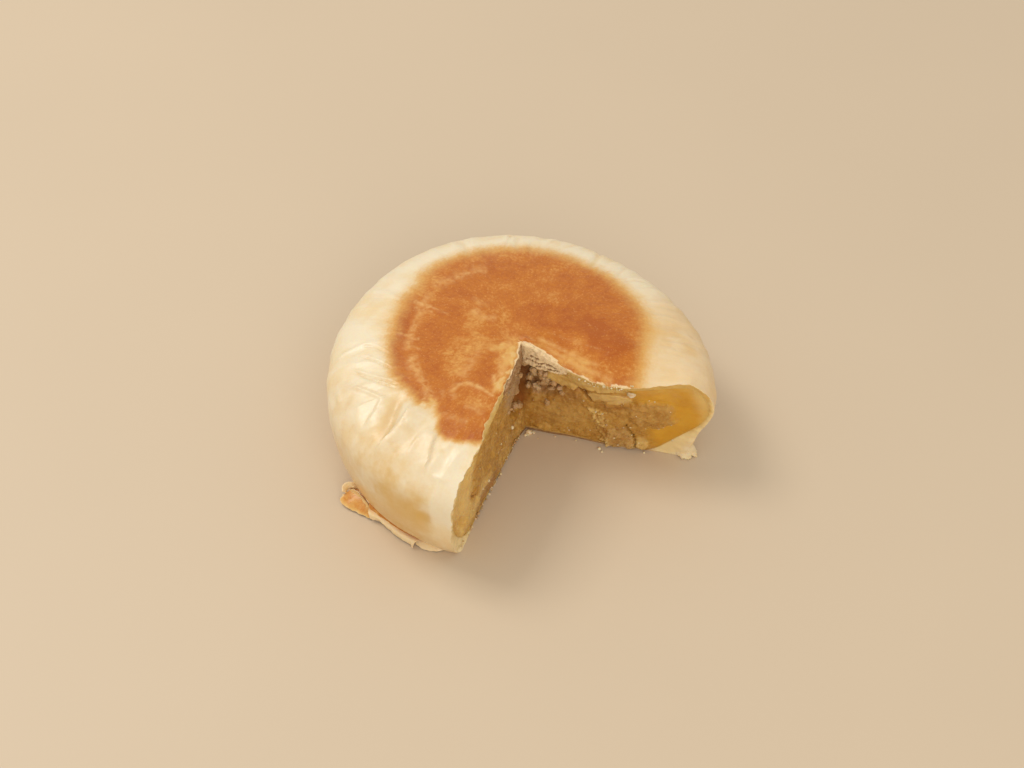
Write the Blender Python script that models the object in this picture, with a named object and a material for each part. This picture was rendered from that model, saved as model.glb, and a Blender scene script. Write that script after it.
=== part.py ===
"""A pia cake with one quarter cut away: a thin baked pastry skin round a mung bean filling.

Lengths are in metres and +Z is up. The cake stands on z = 0 with its round axis near x = y = 0.
The missing quarter lies towards +X and -Y, so one cut face runs along +X and the other along -Y.
"""

import math
import random

import bmesh
import bpy
from mathutils import Vector, noise

# ---- driving dimensions -------------------------------------------------------------------------
CAKE_RADIUS = 0.0375          # at the widest height, before the outline's unevenness
FOOT_RADIUS = 0.0326          # of the flat base
WIDEST_HEIGHT = 0.0140        # where the bulging side is widest
CAKE_HEIGHT = 0.0245
SHOULDER_FLATNESS = 3.57      # superellipse powers of the shoulder: along the radius and the height
SHOULDER_SQUARENESS = 2.78

SKIN_SIDE = 0.0012            # pastry skin at the side
SKIN_TOP = 0.0016             # and over the filling
SKIN_BASE = 0.0012            # and under it
SKIN_FOOT = 0.0050            # extra width of pastry gathered inside the bottom corner
FILLING_GAP = 0.0003          # clearance between the skin and the filling

# The plan outline isn't round: waves round the cake, share of the radius, phase in degrees.
OUTLINE_WAVES = ((1, 0.0245, 185.4), (2, 0.0209, -72.3), (3, 0.0192, 0.3))

# ---- creases pressed into the shoulder ----------------------------------------------------------
CREASE_SEED = 7
CREASE_SPACING_DEG = (4.5, 8.5)
CREASE_HALF_WIDTH = (0.0009, 0.0013)
CREASE_DEPTH = (0.0003, 0.0007)
CREASE_TOP_RADIUS = (0.0255, 0.0285)    # inner end, on the top
CREASE_FOOT_HEIGHT = (0.0100, 0.0170)   # outer end, on the side
CREASE_FADE = 0.0030                    # length over which an end runs out

# ---- the cut ------------------------------------------------------------------------------------
APEX_BASE = (0.0004, 0.0008)  # where the two cut faces meet, at the base and at the top
APEX_TOP = (-0.0002, 0.0000)
CUT_REACH = 0.0440            # how far the knife's faces run out, past the cake
CUT_LOW, CUT_HIGH = -0.0020, 0.0280
CUT_STEP = 0.0015             # spacing of the points on a cut face

# Places of the cut faces: distance from the axis, then the face's shift at the base and at the top.
RIGHT_FACE = (  # x, y at the base, y at the top
    (0.0040, 0.0007, -0.0002), (0.0100, 0.0009, -0.0016), (0.0165, 0.0007, -0.0026),
    (0.0225, 0.0014, -0.0021), (0.0280, 0.0020, -0.0008), (0.0330, 0.0020, 0.0003), (0.0440, 0.0024, 0.0010),
)
LEFT_FACE = (  # -y, x at the base, x at the top
    (0.0040, -0.0005, 0.0002), (0.0120, -0.0010, 0.0003), (0.0200, -0.0018, 0.0003),
    (0.0270, -0.0022, 0.0001), (0.0340, -0.0030, -0.0012), (0.0440, -0.0036, -0.0020),
)
FACE_LEAN = 1.4               # power by which a face runs from its base shift to its top shift

# The knife pulled the top down along the face at +X: depth of the droop and where it is deepest.
DROOP = 0.0040
DROOP_REACH = 0.0080          # how far from the cut it starts
DROOP_MIDDLE = 0.0150         # distance from the axis of its deepest place
DROOP_INNER, DROOP_OUTER = 0.0130, 0.0150   # its half lengths towards the axis and the rim
DROOP_LOWEST = 0.0060         # height below which nothing is pulled down

SKIN_RAGGEDNESS = 0.00025     # relief of the cut through the skin
FILLING_RECESS = 0.0004       # the filling broke away this far behind the skin
FILLING_RAGGEDNESS = 0.00055
CLUMP_SIZE = 0.0042           # of the crags on the filling's faces
HOLLOW_DEPTH = 0.0030         # crumbled pocket under the top skin, beside the axis
HOLLOW_LENGTH, HOLLOW_HEIGHT, HOLLOW_AT = 0.0090, 0.0050, 0.0185

# ---- loose skin of the base ---------------------------------------------------------------------
PEEL_THICKNESS = 0.0007
PEEL_ROOT = (0.0325, 0.0024)  # radius and height of the edge that is still joined to the cake
PEEL_STEP_DEG = 2.0
PEEL_REACHES = (  # angle in degrees, radius and height of the free edge
    (-141.0, 0.0366, 0.0018), (-138.0, 0.0386, 0.0010), (-136.0, 0.0397, 0.0006), (-132.0, 0.0400, 0.0005),
    (-130.0, 0.0388, 0.0005), (-126.0, 0.0367, 0.0005), (-120.0, 0.0363, 0.0008), (-114.0, 0.0363, 0.0010),
    (-108.0, 0.0363, 0.0005), (-104.0, 0.0352, 0.0008), (-99.0, 0.0344, 0.0006),
)
TAB_ROOT = (0.0315, 0.0016)
TAB_REACHES = ((2.2, 0.0338, 0.0004), (4.2, 0.0350, 0.0006), (6.2, 0.0346, 0.0004), (8.2, 0.0334, 0.0006))

# ---- mesh density -------------------------------------------------------------------------------
SKIN_COLUMNS, FILLING_COLUMNS = 120, 48
SKIN_ROWS = (3, 6, 15)        # across the base, up to the widest height, and over the shoulder
FILLING_ROWS = (2, 5, 8)

SKIN_COLOUR = (0.90, 0.80, 0.60)
FILLING_COLOUR = (0.62, 0.42, 0.14)


def smooth_step(low, high, value):
    """0 below low, 1 above high, and a smooth S between them."""
    share = min(1.0, max(0.0, (value - low) / (high - low)))
    return share * share * (3.0 - 2.0 * share)


def along(table, distance):
    """The row of a table at this distance, straight between its rows, without the distance itself."""
    if distance <= table[0][0]:
        return table[0][1:]
    for before, after in zip(table, table[1:]):
        if distance <= after[0]:
            share = (distance - before[0]) / (after[0] - before[0])
            return tuple(a + (b - a) * share for a, b in zip(before[1:], after[1:]))
    return table[-1][1:]


def outline(angle):
    """How much wider than round the cake is in this direction."""
    return 1.0 + sum(share * math.cos(waves * angle - math.radians(phase))
                     for waves, share, phase in OUTLINE_WAVES)


def profile(inset, foot_inset, base, top, rows):
    """(radius, height) from the base's middle, up the bulging side and over the shoulder to the top."""
    base_rows, side_rows, shoulder_rows = rows
    widest = CAKE_RADIUS - inset
    foot = FOOT_RADIUS - foot_inset
    points = [(foot * (row + 1) / base_rows, base) for row in range(base_rows)]
    for row in range(1, side_rows + 1):
        share = row / side_rows
        height = base + (WIDEST_HEIGHT - base) * share ** 1.5
        fall = (WIDEST_HEIGHT - height) / (WIDEST_HEIGHT - base)
        points.append((foot + (widest - foot) * math.sqrt(1.0 - fall * fall), height))
    for row in range(1, shoulder_rows):
        turn = math.pi / 2 * row / shoulder_rows
        points.append((
            widest * math.cos(turn) ** (2 / SHOULDER_FLATNESS),
            WIDEST_HEIGHT + (top - WIDEST_HEIGHT) * math.sin(turn) ** (2 / SHOULDER_SQUARENESS),
        ))
    return points


def face_shift(table, distance, height):
    """Where a cut face stands at this distance from the axis and this height."""
    at_base, at_top = along(table, distance)
    share = min(1.0, max(0.0, height / CAKE_HEIGHT)) ** FACE_LEAN
    return at_base + (at_top - at_base) * share


def droop(x, y, height):
    """How far the top is pulled down here by the cut along +X."""
    length = DROOP_INNER if x < DROOP_MIDDLE else DROOP_OUTER
    along_cut = max(0.0, 1.0 - ((x - DROOP_MIDDLE) / length) ** 2)
    from_cut = max(0.0, y - face_shift(RIGHT_FACE, max(x, 0.0), height))
    near_cut = max(0.0, 1.0 - from_cut / DROOP_REACH) ** 2
    return DROOP * along_cut * near_cut * smooth_step(DROOP_LOWEST, CAKE_HEIGHT, height)


def make_creases():
    """The short radial creases: each an angle, a half width, a depth and the two ends of its run."""
    draw = random.Random(CREASE_SEED)
    creases = []
    angle = 0.0
    while angle < 360.0 - CREASE_SPACING_DEG[0]:
        creases.append((math.radians(angle), draw.uniform(*CREASE_HALF_WIDTH), draw.uniform(*CREASE_DEPTH),
                        draw.uniform(*CREASE_TOP_RADIUS), draw.uniform(*CREASE_FOOT_HEIGHT)))
        angle += draw.uniform(*CREASE_SPACING_DEG)
    return creases


def crease_depth(creases, angle, radius, height):
    """How deep the skin is creased at this point of the side or shoulder."""
    deepest = 0.0
    for where, half_width, depth, top_radius, foot_height in creases:
        turn = (angle - where + math.pi) % (2 * math.pi) - math.pi
        across = abs(turn) * radius / half_width
        if across >= 1.0:
            continue
        ends = (smooth_step(top_radius, top_radius + CREASE_FADE, radius)
                * smooth_step(foot_height, foot_height + CREASE_FADE, height))
        deepest = max(deepest, depth * ends * (1.0 - across * across))
    return deepest


def round_body(name, points, columns, creases=()):
    """A closed body turned round the axis from a profile, with the cake's outline, creases and droop."""
    mesh = bmesh.new()
    rings = []
    for index, (radius, height) in enumerate(points):
        before = points[max(index - 1, 0)]
        after = points[min(index + 1, len(points) - 1)]
        outward = Vector((after[1] - before[1], before[0] - after[0])).normalized()
        ring = []
        for column in range(columns):
            angle = 2 * math.pi * column / columns
            sunk = crease_depth(creases, angle, radius, height)
            reach = radius * outline(angle) - outward.x * sunk
            x, y = reach * math.cos(angle), reach * math.sin(angle)
            z = height - outward.y * sunk
            ring.append(mesh.verts.new((x, y, z - droop(x, y, z))))
        rings.append(ring)
    bottom = mesh.verts.new((0.0, 0.0, points[0][1]))
    top_height = points[-1][1]
    top = mesh.verts.new((0.0, 0.0, top_height - droop(0.0, 0.0, top_height)))
    for column in range(columns):
        after = (column + 1) % columns
        mesh.faces.new((bottom, rings[0][after], rings[0][column]))
        mesh.faces.new((top, rings[-1][column], rings[-1][after]))
        for lower, upper in zip(rings, rings[1:]):
            mesh.faces.new((lower[column], lower[after], upper[after], upper[column]))
    return body_from(mesh, name)


def body_from(mesh, name):
    """An object made from a closed bmesh, its faces turned outwards."""
    bmesh.ops.recalc_face_normals(mesh, faces=mesh.faces)
    data = bpy.data.meshes.new(name)
    mesh.to_mesh(data)
    mesh.free()
    body = bpy.data.objects.new(name, data)
    bpy.context.scene.collection.objects.link(body)
    return body


def knife_cut(name, recess, raggedness, hollow):
    """The space of the missing quarter, bounded by the two uneven faces that the knife left.

    recess is how far both faces stand back into the cake, and hollow the depth of the pocket near the top.
    """
    mesh = bmesh.new()
    steps = round(CUT_REACH / CUT_STEP)
    levels = round((CUT_HIGH - CUT_LOW) / CUT_STEP)
    walls = []
    for level in range(levels + 1):
        height = CUT_LOW + (CUT_HIGH - CUT_LOW) * level / levels
        rise = min(1.0, max(0.0, height / CAKE_HEIGHT))
        apex = [low + (high - low) * rise for low, high in zip(APEX_BASE, APEX_TOP)]
        row = []
        for step in range(-steps, steps + 1):
            distance = abs(step) / steps * CUT_REACH
            blend = smooth_step(0.0, 0.0040, distance)
            right = step > 0
            table, apex_shift = (RIGHT_FACE, apex[1]) if right else (LEFT_FACE, apex[0])
            shift = apex_shift + (face_shift(table, distance, height) - apex_shift) * blend
            crag = noise.noise(Vector((distance, height, 0.05 if right else -0.05)) / CLUMP_SIZE)
            pocket = (hollow * max(0.0, 1.0 - (distance / HOLLOW_LENGTH) ** 2)
                      * max(0.0, 1.0 - ((height - HOLLOW_AT) / HOLLOW_HEIGHT) ** 2))
            back = recess + raggedness * crag + pocket
            if step == 0:
                point = (apex[0] - back, apex[1] + back, height)
            elif right:
                point = (max(apex[0], 0.0) + distance, shift + back, height)
            else:
                point = (shift - back, min(apex[1], 0.0) - distance, height)
            row.append(mesh.verts.new(point))
        row.append(mesh.verts.new((CUT_REACH, -CUT_REACH, height)))
        walls.append(row)
    count = len(walls[0])
    for lower, upper in zip(walls, walls[1:]):
        for index in range(count):
            after = (index + 1) % count
            mesh.faces.new((lower[index], lower[after], upper[after], upper[index]))
    mesh.faces.new(walls[0][::-1])
    mesh.faces.new(walls[-1])
    bmesh.ops.triangulate(mesh, faces=[face for face in mesh.faces if len(face.verts) > 4])
    return as_helper(body_from(mesh, name))


def ribbon(name, root, reaches):
    """A thin strip of loose skin: its inner edge is buried in the cake, its free edge bends down to the plate."""
    mesh = bmesh.new()
    first, last = reaches[0][0], reaches[-1][0]
    steps = round((last - first) / PEEL_STEP_DEG)
    sections = []
    for step in range(steps + 1):
        degrees = first + (last - first) * step / steps
        angle = math.radians(degrees)
        free_radius, free_height = along(reaches, degrees)
        root_radius, root_height = root
        middle = ((root_radius + free_radius) / 2, (root_height + free_height) / 2 + PEEL_THICKNESS / 2)
        line = ((root_radius, root_height), middle, (free_radius, free_height))
        under = [(radius, max(height - PEEL_THICKNESS / 2, 0.0001)) for radius, height in line]
        over = [(radius, low + PEEL_THICKNESS) for radius, low in under]
        sections.append([
            mesh.verts.new((radius * math.cos(angle), radius * math.sin(angle), height))
            for radius, height in under + over[::-1]
        ])
    count = len(sections[0])
    for one, other in zip(sections, sections[1:]):
        for index in range(count):
            after = (index + 1) % count
            mesh.faces.new((one[index], one[after], other[after], other[index]))
    mesh.faces.new(sections[0][::-1])
    mesh.faces.new(sections[-1])
    bmesh.ops.triangulate(mesh, faces=mesh.faces)
    return as_helper(body_from(mesh, name))


def as_helper(body):
    """A shape that only cuts or joins another: it is left out of the render."""
    body.hide_render = True
    body.display_type = 'WIRE'
    return body


def combine(body, other, operation):
    """Cuts other from body, or joins it on."""
    modifier = body.modifiers.new(other.name, 'BOOLEAN')
    modifier.operation = operation
    modifier.solver = 'EXACT'
    modifier.object = other


def paint(body, name, colour, roughness):
    """Gives body a plain material of this colour."""
    material = bpy.data.materials.new(name)
    material.use_nodes = True
    shader = material.node_tree.nodes['Principled BSDF']
    shader.inputs['Base Color'].default_value = (*colour, 1.0)
    shader.inputs['Roughness'].default_value = roughness
    shader.inputs['Metallic'].default_value = 0.0
    body.data.materials.append(material)


def make_skin():
    """The pastry skin: the whole cake, hollowed for its filling and cut, with the base's loose skin joined on."""
    whole = profile(0.0, 0.0, 0.0, CAKE_HEIGHT, SKIN_ROWS)
    skin = round_body('pastry_skin', whole, SKIN_COLUMNS, make_creases())
    room = profile(SKIN_SIDE, SKIN_FOOT, SKIN_BASE, CAKE_HEIGHT - SKIN_TOP, FILLING_ROWS)
    combine(skin, as_helper(round_body('filling_room', room, FILLING_COLUMNS)), 'DIFFERENCE')
    combine(skin, knife_cut('cut_through_skin', 0.0, SKIN_RAGGEDNESS, 0.0), 'DIFFERENCE')
    combine(skin, ribbon('peeling_base_skin', PEEL_ROOT, PEEL_REACHES), 'UNION')
    combine(skin, ribbon('corner_tab', TAB_ROOT, TAB_REACHES), 'UNION')
    paint(skin, 'baked_pastry', SKIN_COLOUR, 0.5)
    return skin


def make_filling():
    """The mung bean filling, a little smaller than its room and broken a little further back."""
    size = profile(SKIN_SIDE + FILLING_GAP, SKIN_FOOT + FILLING_GAP, SKIN_BASE + FILLING_GAP,
                   CAKE_HEIGHT - SKIN_TOP - FILLING_GAP, FILLING_ROWS)
    filling = round_body('mung_bean_filling', size, FILLING_COLUMNS)
    cut = knife_cut('cut_through_filling', FILLING_RECESS, FILLING_RAGGEDNESS, HOLLOW_DEPTH)
    combine(filling, cut, 'DIFFERENCE')
    paint(filling, 'mung_bean_paste', FILLING_COLOUR, 0.6)
    return filling


def centre_on_base(bodies):
    """Hangs everything on one empty, placed so that the bodies' bounding box is centred on the Z axis."""
    graph = bpy.context.evaluated_depsgraph_get()
    corners = [Vector(corner) for body in bodies for corner in body.evaluated_get(graph).bound_box]
    middle = [(min(corner[axis] for corner in corners) + max(corner[axis] for corner in corners)) / 2
              for axis in (0, 1)]
    shapes = list(bpy.data.objects)
    stand = bpy.data.objects.new('cake_axis', None)
    stand.location = (-middle[0], -middle[1], 0.0)
    bpy.context.scene.collection.objects.link(stand)
    for shape in shapes:
        shape.parent = stand


def main():
    """Clears the scene and builds the cake."""
    for old in list(bpy.data.objects):
        bpy.data.objects.remove(old)
    centre_on_base([make_skin(), make_filling()])


main()
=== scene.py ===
"""The looks of a pia cake with one quarter cut out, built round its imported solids.

Sizes inside the classes are millimetres from the cake's own round axis, with +Z up, and angles are
degrees from +X, unless a name says otherwise. Meshes are written in metres in the part's frame. The
missing quarter lies towards +X and -Y: one cut face runs along +X (the right face) and the other
along -Y (the left face). A place on a face is its distance from the axis and its height.
"""

from __future__ import annotations

import logging
import math
import random
from dataclasses import dataclass
from enum import Enum
from functools import reduce
from typing import Optional, Union

import bpy
import numpy as np
from mathutils import Matrix, Vector

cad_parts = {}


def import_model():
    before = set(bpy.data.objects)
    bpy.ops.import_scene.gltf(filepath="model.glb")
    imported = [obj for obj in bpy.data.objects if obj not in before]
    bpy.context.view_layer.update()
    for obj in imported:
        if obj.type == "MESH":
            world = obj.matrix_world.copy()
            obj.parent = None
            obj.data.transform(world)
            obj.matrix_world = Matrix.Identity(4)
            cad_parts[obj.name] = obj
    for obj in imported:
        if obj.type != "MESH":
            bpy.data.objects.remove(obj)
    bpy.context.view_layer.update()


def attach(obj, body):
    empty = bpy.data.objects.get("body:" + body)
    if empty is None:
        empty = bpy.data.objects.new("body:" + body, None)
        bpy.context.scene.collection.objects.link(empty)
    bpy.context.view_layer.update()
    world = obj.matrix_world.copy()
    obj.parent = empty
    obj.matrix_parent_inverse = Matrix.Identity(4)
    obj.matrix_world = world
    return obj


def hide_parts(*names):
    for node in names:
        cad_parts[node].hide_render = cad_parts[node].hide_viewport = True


LOG = logging.getLogger("pia_cake")
MM = 0.001
AXIS_PLACE = (0.27, -0.04)  # the cake's round axis in the part's frame, in millimetres
LEFT_ANGLE = 270  # angle of the left face; the right face's is 0
THREE_QUARTERS = math.radians(LEFT_ANGLE)
SIDE_RADIUS = 36  # where lines that run up the side are as far apart as their finish says
SEAM_TURN = 225  # turns the seam of the angle round the axis into the missing quarter
CELL_FACTORS = (73856093, 19349663, 83492791)
LATTICE_MIX = (2654435761, 13, 1274126177, 16)
GRAIN_MIX = (97531, 15, 2246822519, 13)
LOW_BITS = 0xFFFFFFFF
SCATTER_TOP = 1023
PASTE_VALUES = ("amber", "yellow", "dull", "stain_and_shade")
SKIN_VALUES = ("browned", "toast", "golden", "raised", "warm_and_crease_shade", "streak", "section_and_shade", "torn")

Array = np.ndarray
Socket = bpy.types.NodeSocket
Object = bpy.types.Object
Material = bpy.types.Material
Pair = tuple[float, float]
Colour = tuple[float, float, float]
Values = dict[str, Array]
Plan = tuple[Pair, ...]
Place = tuple[float, float, float]
Route = tuple[Place, ...]
Rows = tuple[tuple[float, ...], ...]
Factor = Union[float, "Signal"]


class Slot(Enum):
    """The record's material slots."""

    PASTRY = "baked_pastry"
    PASTE = "mung_bean_paste"


class Side(Enum):
    """The two faces that the knife left."""

    RIGHT = "right"
    LEFT = "left"

    def away(self, points: Array) -> Array:
        """Distance of each point from the axis along this face."""
        return points[..., 0] if self is Side.RIGHT else -points[..., 1]

    def place(self, away: Array, stand: Array, out: Array, height: Array) -> Array:
        """Points that far out of this face, which stands at y (right) or x (left) = stand there."""
        return join(away, stand - out, height) if self is Side.RIGHT else join(stand + out, -away, height)


class FoldKind(Enum):
    """How a fold of the skin stands: pressed in, raised, or one side higher than the other."""

    GROOVE = -1
    RIDGE = 1
    STEP = 0


# ---- numbers for whole arrays of points


def ease(low: float, high: float, value: Array) -> Array:
    """A smooth rise.

    Args:
        low: where it starts; above high for a fall.
        high: where it ends.
        value: the numbers.

    Returns:
        The share of the rise, 0 to 1.
    """
    share = unit((value - low) / (high - low))
    return share * share * (3 - 2 * share)


def unit(value: Array) -> Array:
    """The numbers, held between 0 and 1."""
    return np.clip(value, 0, 1)


def most(*parts: Array) -> Array:
    """The largest of several numbers at each point."""
    return reduce(np.maximum, parts)


def join(*parts: Array) -> Array:
    """Points from their coordinates, each an array or a number."""
    return np.stack(np.broadcast_arrays(*parts), axis=-1)


def read_table(rows: Rows, place: Array, column: int = 1) -> Array:
    """Reads a column of a table whose rows start with a place."""
    table = np.array(rows)
    return np.interp(place, table[:, 0], table[:, column])


def even_line(points: Array, count: int) -> Array:
    """Spaces the points of a line evenly.

    Args:
        points: the line's points.
        count: how many points it gets.

    Returns:
        The new points.
    """
    lengths = np.concatenate([[0], np.cumsum(np.linalg.norm(np.diff(points, axis=0), axis=1))])
    even = np.linspace(0, lengths[-1], count)
    return np.stack([np.interp(even, lengths, column) for column in points.T], axis=-1)


def scatter(cell: Array, seed: int, mix: tuple[int, int, int, int]) -> Array:
    """Whole numbers that look random.

    Args:
        cell: whole-numbered cells, the last axis x, y, z.
        seed: picks the pattern.
        mix: the seed's factor, then the shift, factor and shift that mix the bits.

    Returns:
        Three numbers from 0 to SCATTER_TOP for each cell.
    """
    spread, shift, factor, last = mix
    mixed = np.bitwise_xor.reduce(cell * CELL_FACTORS, axis=-1) ^ seed * spread
    mixed = ((mixed & LOW_BITS) ^ ((mixed & LOW_BITS) >> shift)) * factor & LOW_BITS
    mixed = mixed ^ (mixed >> last)
    return np.stack([mixed >> bits & SCATTER_TOP for bits in (0, 10, 20)], axis=-1)


def lattice(points: Array, seed: int) -> Array:
    """Gradient noise.

    Args:
        points: places in cells, the last axis x, y, z.
        seed: picks the pattern.

    Returns:
        One number a place, from about -0.8 to 0.8.
    """
    cell = np.floor(points).astype(np.int64)
    local = points - cell
    fade = local ** 3 * (local * (local * 6 - 15) + 10)
    total = np.zeros(points.shape[:-1])
    for corner in np.ndindex(2, 2, 2):
        slope = scatter(cell + np.array(corner), seed, LATTICE_MIX) / (SCATTER_TOP / 2) - 1
        weight = np.prod(np.where(np.array(corner) == 1, fade, 1 - fade), axis=-1)
        total += weight * np.sum(slope * (local - np.array(corner)), axis=-1)
    return total


def noise(points: Array, size: float, octaves: int, seed: int) -> Array:
    """Layers of gradient noise, each half as large and half as strong as the last.

    Args:
        points: places, the last axis x, y, z.
        size: size of the largest lumps.
        octaves: number of layers.
        seed: picks the pattern.

    Returns:
        One number a place, from about -1 to 1.
    """
    return sum(lattice(points * (2 ** octave / size), seed + octave) * 0.5 ** octave
               for octave in range(octaves))


def cells(points: Array, size: float, seed: int) -> Array:
    """Rounded grains: the distance to the nearest of many scattered middles.

    Args:
        points: places, the last axis x, y, z.
        size: distance between grains.
        seed: picks the pattern.

    Returns:
        0 at a grain's middle and about 1 between grains.
    """
    scaled = points / size
    cell = np.floor(scaled).astype(np.int64)
    nearest = np.full(points.shape[:-1], np.inf)
    for step in np.ndindex(3, 3, 3):
        where = cell + np.array(step) - 1
        middle = where + scatter(where, seed, GRAIN_MIX) / SCATTER_TOP
        nearest = np.minimum(nearest, np.sum((scaled - middle) ** 2, axis=-1))
    return np.sqrt(nearest)


def line_gap(x: Array, y: Array, line: Plan) -> tuple[Array, Array, Array]:
    """Distance from each place to a broken line.

    Args:
        x: first coordinate of the places.
        y: second coordinate.
        line: the line's points.

    Returns:
        The distance, the same with a sign for the side, and the nearest point's share of the line, 0 to 1.
    """
    best = np.full(x.shape, np.inf)
    signed, share = np.zeros(x.shape), np.zeros(x.shape)
    for index, ((ax, ay), (bx, by)) in enumerate(zip(line, line[1:])):
        dx, dy = bx - ax, by - ay
        along = unit(((x - ax) * dx + (y - ay) * dy) / (dx * dx + dy * dy))
        away = np.hypot(x - ax - along * dx, y - ay - along * dy)
        closer = away < best
        best = np.where(closer, away, best)
        signed = np.where(closer, away * np.sign(dx * (y - ay) - dy * (x - ax)), signed)
        share = np.where(closer, (index + along) / (len(line) - 1), share)
    return best, signed, share


@dataclass(frozen=True)
class Spot:
    """A soft oval spot on a surface."""

    middle: Pair
    half: Pair
    turn: float = 0
    edge: float = 1  # width of the soft edge, as a share of the half lengths

    def cover(self, x: Array, y: Array) -> Array:
        """How much of each place the spot takes.

        Args:
            x: first coordinate of the places.
            y: second coordinate.

        Returns:
            1 inside and 0 outside.
        """
        c, s = math.cos(math.radians(self.turn)), math.sin(math.radians(self.turn))
        dx, dy = x - self.middle[0], y - self.middle[1]
        reach = np.hypot((dx * c + dy * s) / self.half[0], (dy * c - dx * s) / self.half[1])
        return ease(1 + self.edge / 2, 1 - self.edge / 2, reach)


# ---- the cake's form


@dataclass(frozen=True)
class CakeShape:
    """The cake's outer form, its two cut faces and the edge that the knife pulled down."""

    radius: float = 37.5
    foot_radius: float = 32.6
    widest_height: float = 14
    height: float = 24.5
    shoulder_flatness: float = 3.57
    shoulder_squareness: float = 2.78
    side_roundness: float = 1.5
    outline_waves: Rows = ((1, 0.0245, 185.4), (2, 0.0209, -72.3), (3, 0.0192, 0.3))  # count, share, phase
    apex_base: Pair = (0.4, 0.8)
    apex_top: Pair = (-0.2, 0)
    apex_reach: float = 4
    right_face: Rows = (  # distance from the axis, where the face stands at its base and at its top
        (4, 0.7, -0.2), (10, 0.9, -1.6), (16.5, 0.7, -2.6), (22.5, 1.4, -2.1), (28, 2, -0.8), (33, 2, 0.3),
        (44, 2.4, 1),
    )
    left_face: Rows = (
        (4, -0.5, 0.3), (8, -0.75, 0.55), (12, -1, 0.7), (20, -1.8, 0.35), (27, -2.2, 0), (34, -3, -1.2),
        (44, -3.6, -2),
    )
    face_lean: float = 1.4
    face_reach: float = 9
    droop_depth: float = 4.3
    droop_reach: float = 8
    droop_middle: float = 16
    droop_inner: float = 14
    droop_outer: float = 16.5
    droop_lowest: float = 6
    tuck_depth: float = 2.3
    tuck_angles: Pair = (24, 3)
    tuck_heights: Pair = (15, 6.5)

    def outline(self, angle: Array) -> Array:
        """How much wider than round the cake is at each angle, in radians."""
        return 1 + sum(share * np.cos(count * angle - math.radians(phase))
                       for count, share, phase in self.outline_waves)

    def profile(self, place: Array, widest: float, foot: float, base: float, top: float) -> Array:
        """The round profile.

        Args:
            place: 0 to 1 out over the base, to 2 up the side, to 3 over the top to its middle.
            widest: largest radius.
            foot: radius of the flat base.
            base: height of the base.
            top: height of the top.

        Returns:
            Radius and height at each place.
        """
        up = unit(place - 1) ** self.side_roundness
        side = foot + (widest - foot) * np.sqrt(1 - (1 - up) ** 2)
        turn = unit(place - 2) * math.pi / 2
        over = np.where(place >= 3, 0, widest * unit(np.cos(turn)) ** (2 / self.shoulder_flatness))
        reach = np.where(place < 1, foot * unit(place), np.where(place < 2, side, over))
        rise = np.sin(turn) ** (2 / self.shoulder_squareness)
        height = np.where(place < 2, base + (self.widest_height - base) * up,
                          self.widest_height + (top - self.widest_height) * rise)
        return join(reach, height)

    def outer_profile(self, place: Array) -> Array:
        """Radius and height of the outer surface at each place of the profile."""
        return self.profile(place, self.radius, self.foot_radius, 0, self.height)

    def spread_places(self, base_step: float, steps: Plan) -> Array:
        """Places along the outer profile, close together where the skin is folded.

        Args:
            base_step: their distance on the base.
            steps: places past the base, each with the distance there.

        Returns:
            The places, from 0 to 3.
        """
        fine = np.concatenate([np.linspace(1, 2, 1001), 3 - np.linspace(1, 0, 4001)[1:] ** 1.6])
        gaps = np.hypot(*np.diff(self.outer_profile(fine), axis=0).T)
        counts = np.concatenate([[0], np.cumsum(gaps / read_table(steps, (fine[1:] + fine[:-1]) / 2))])
        rest = np.interp(np.linspace(0, counts[-1], round(counts[-1]) + 1), counts, fine)
        return np.concatenate([np.linspace(0, 1, round(self.foot_radius / base_step) + 1)[:-1], rest])

    def foot_taper(self, z: Array, angle: Array) -> Array:
        """How much narrower the filling is low down, where the gathered skin is thickest."""
        return 1 - (0.02 + 0.065 * ease(30, 0, angle)) * ease(10.5, 1, z)

    def tuck(self, radii: Array, z: Array, angle: Array) -> Array:
        """How far the foot beside the right face is drawn in, for radii before the outline's waves."""
        low = ease(*self.tuck_heights, z) * (1 - 0.3 * ease(3, 0, z))
        return self.tuck_depth * ease(*self.tuck_angles, angle) * low * unit(radii / self.foot_radius) ** 3

    def face_shift(self, side: Side, distance: Array, height: Array) -> Array:
        """Where a cut face stands.

        Args:
            side: which face.
            distance: distance from the axis.
            height: height.

        Returns:
            y of the right face, or x of the left one.
        """
        table, axis = (self.right_face, 1) if side is Side.RIGHT else (self.left_face, 0)
        rise = unit(height / self.height)
        low, high = read_table(table, distance), read_table(table, distance, 2)
        shift = low + (high - low) * rise ** self.face_lean
        apex = self.apex_base[axis] + (self.apex_top[axis] - self.apex_base[axis]) * rise
        return apex + (shift - apex) * ease(0, self.apex_reach, distance)

    def droop(self, points: Array) -> Array:
        """How far the cut along +X pulls down the top.

        Args:
            points: points before that.

        Returns:
            The distance down at each point.
        """
        x, y, z = np.moveaxis(points, -1, 0)
        length = np.where(x < self.droop_middle, self.droop_inner, self.droop_outer)
        along_cut = np.maximum(1 - ((x - self.droop_middle) / length) ** 2, 0)
        from_cut = np.maximum(y - self.face_shift(Side.RIGHT, x, z), 0)
        near_cut = np.maximum(1 - from_cut / self.droop_reach, 0) ** 2
        return self.droop_depth * along_cut * near_cut * ease(self.droop_lowest, self.height, z)

    def before_droop(self, side: Side, away: float, height: float) -> Array:
        """The height that a place on a face had before the cut pulled it down.

        Args:
            side: which face.
            away: distance from the axis.
            height: the height now.

        Returns:
            The height before.
        """
        level = height
        for _ in range(6):
            level = height + self.droop(side.place(away, self.face_shift(side, away, level), 0, level))
        return level

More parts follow.
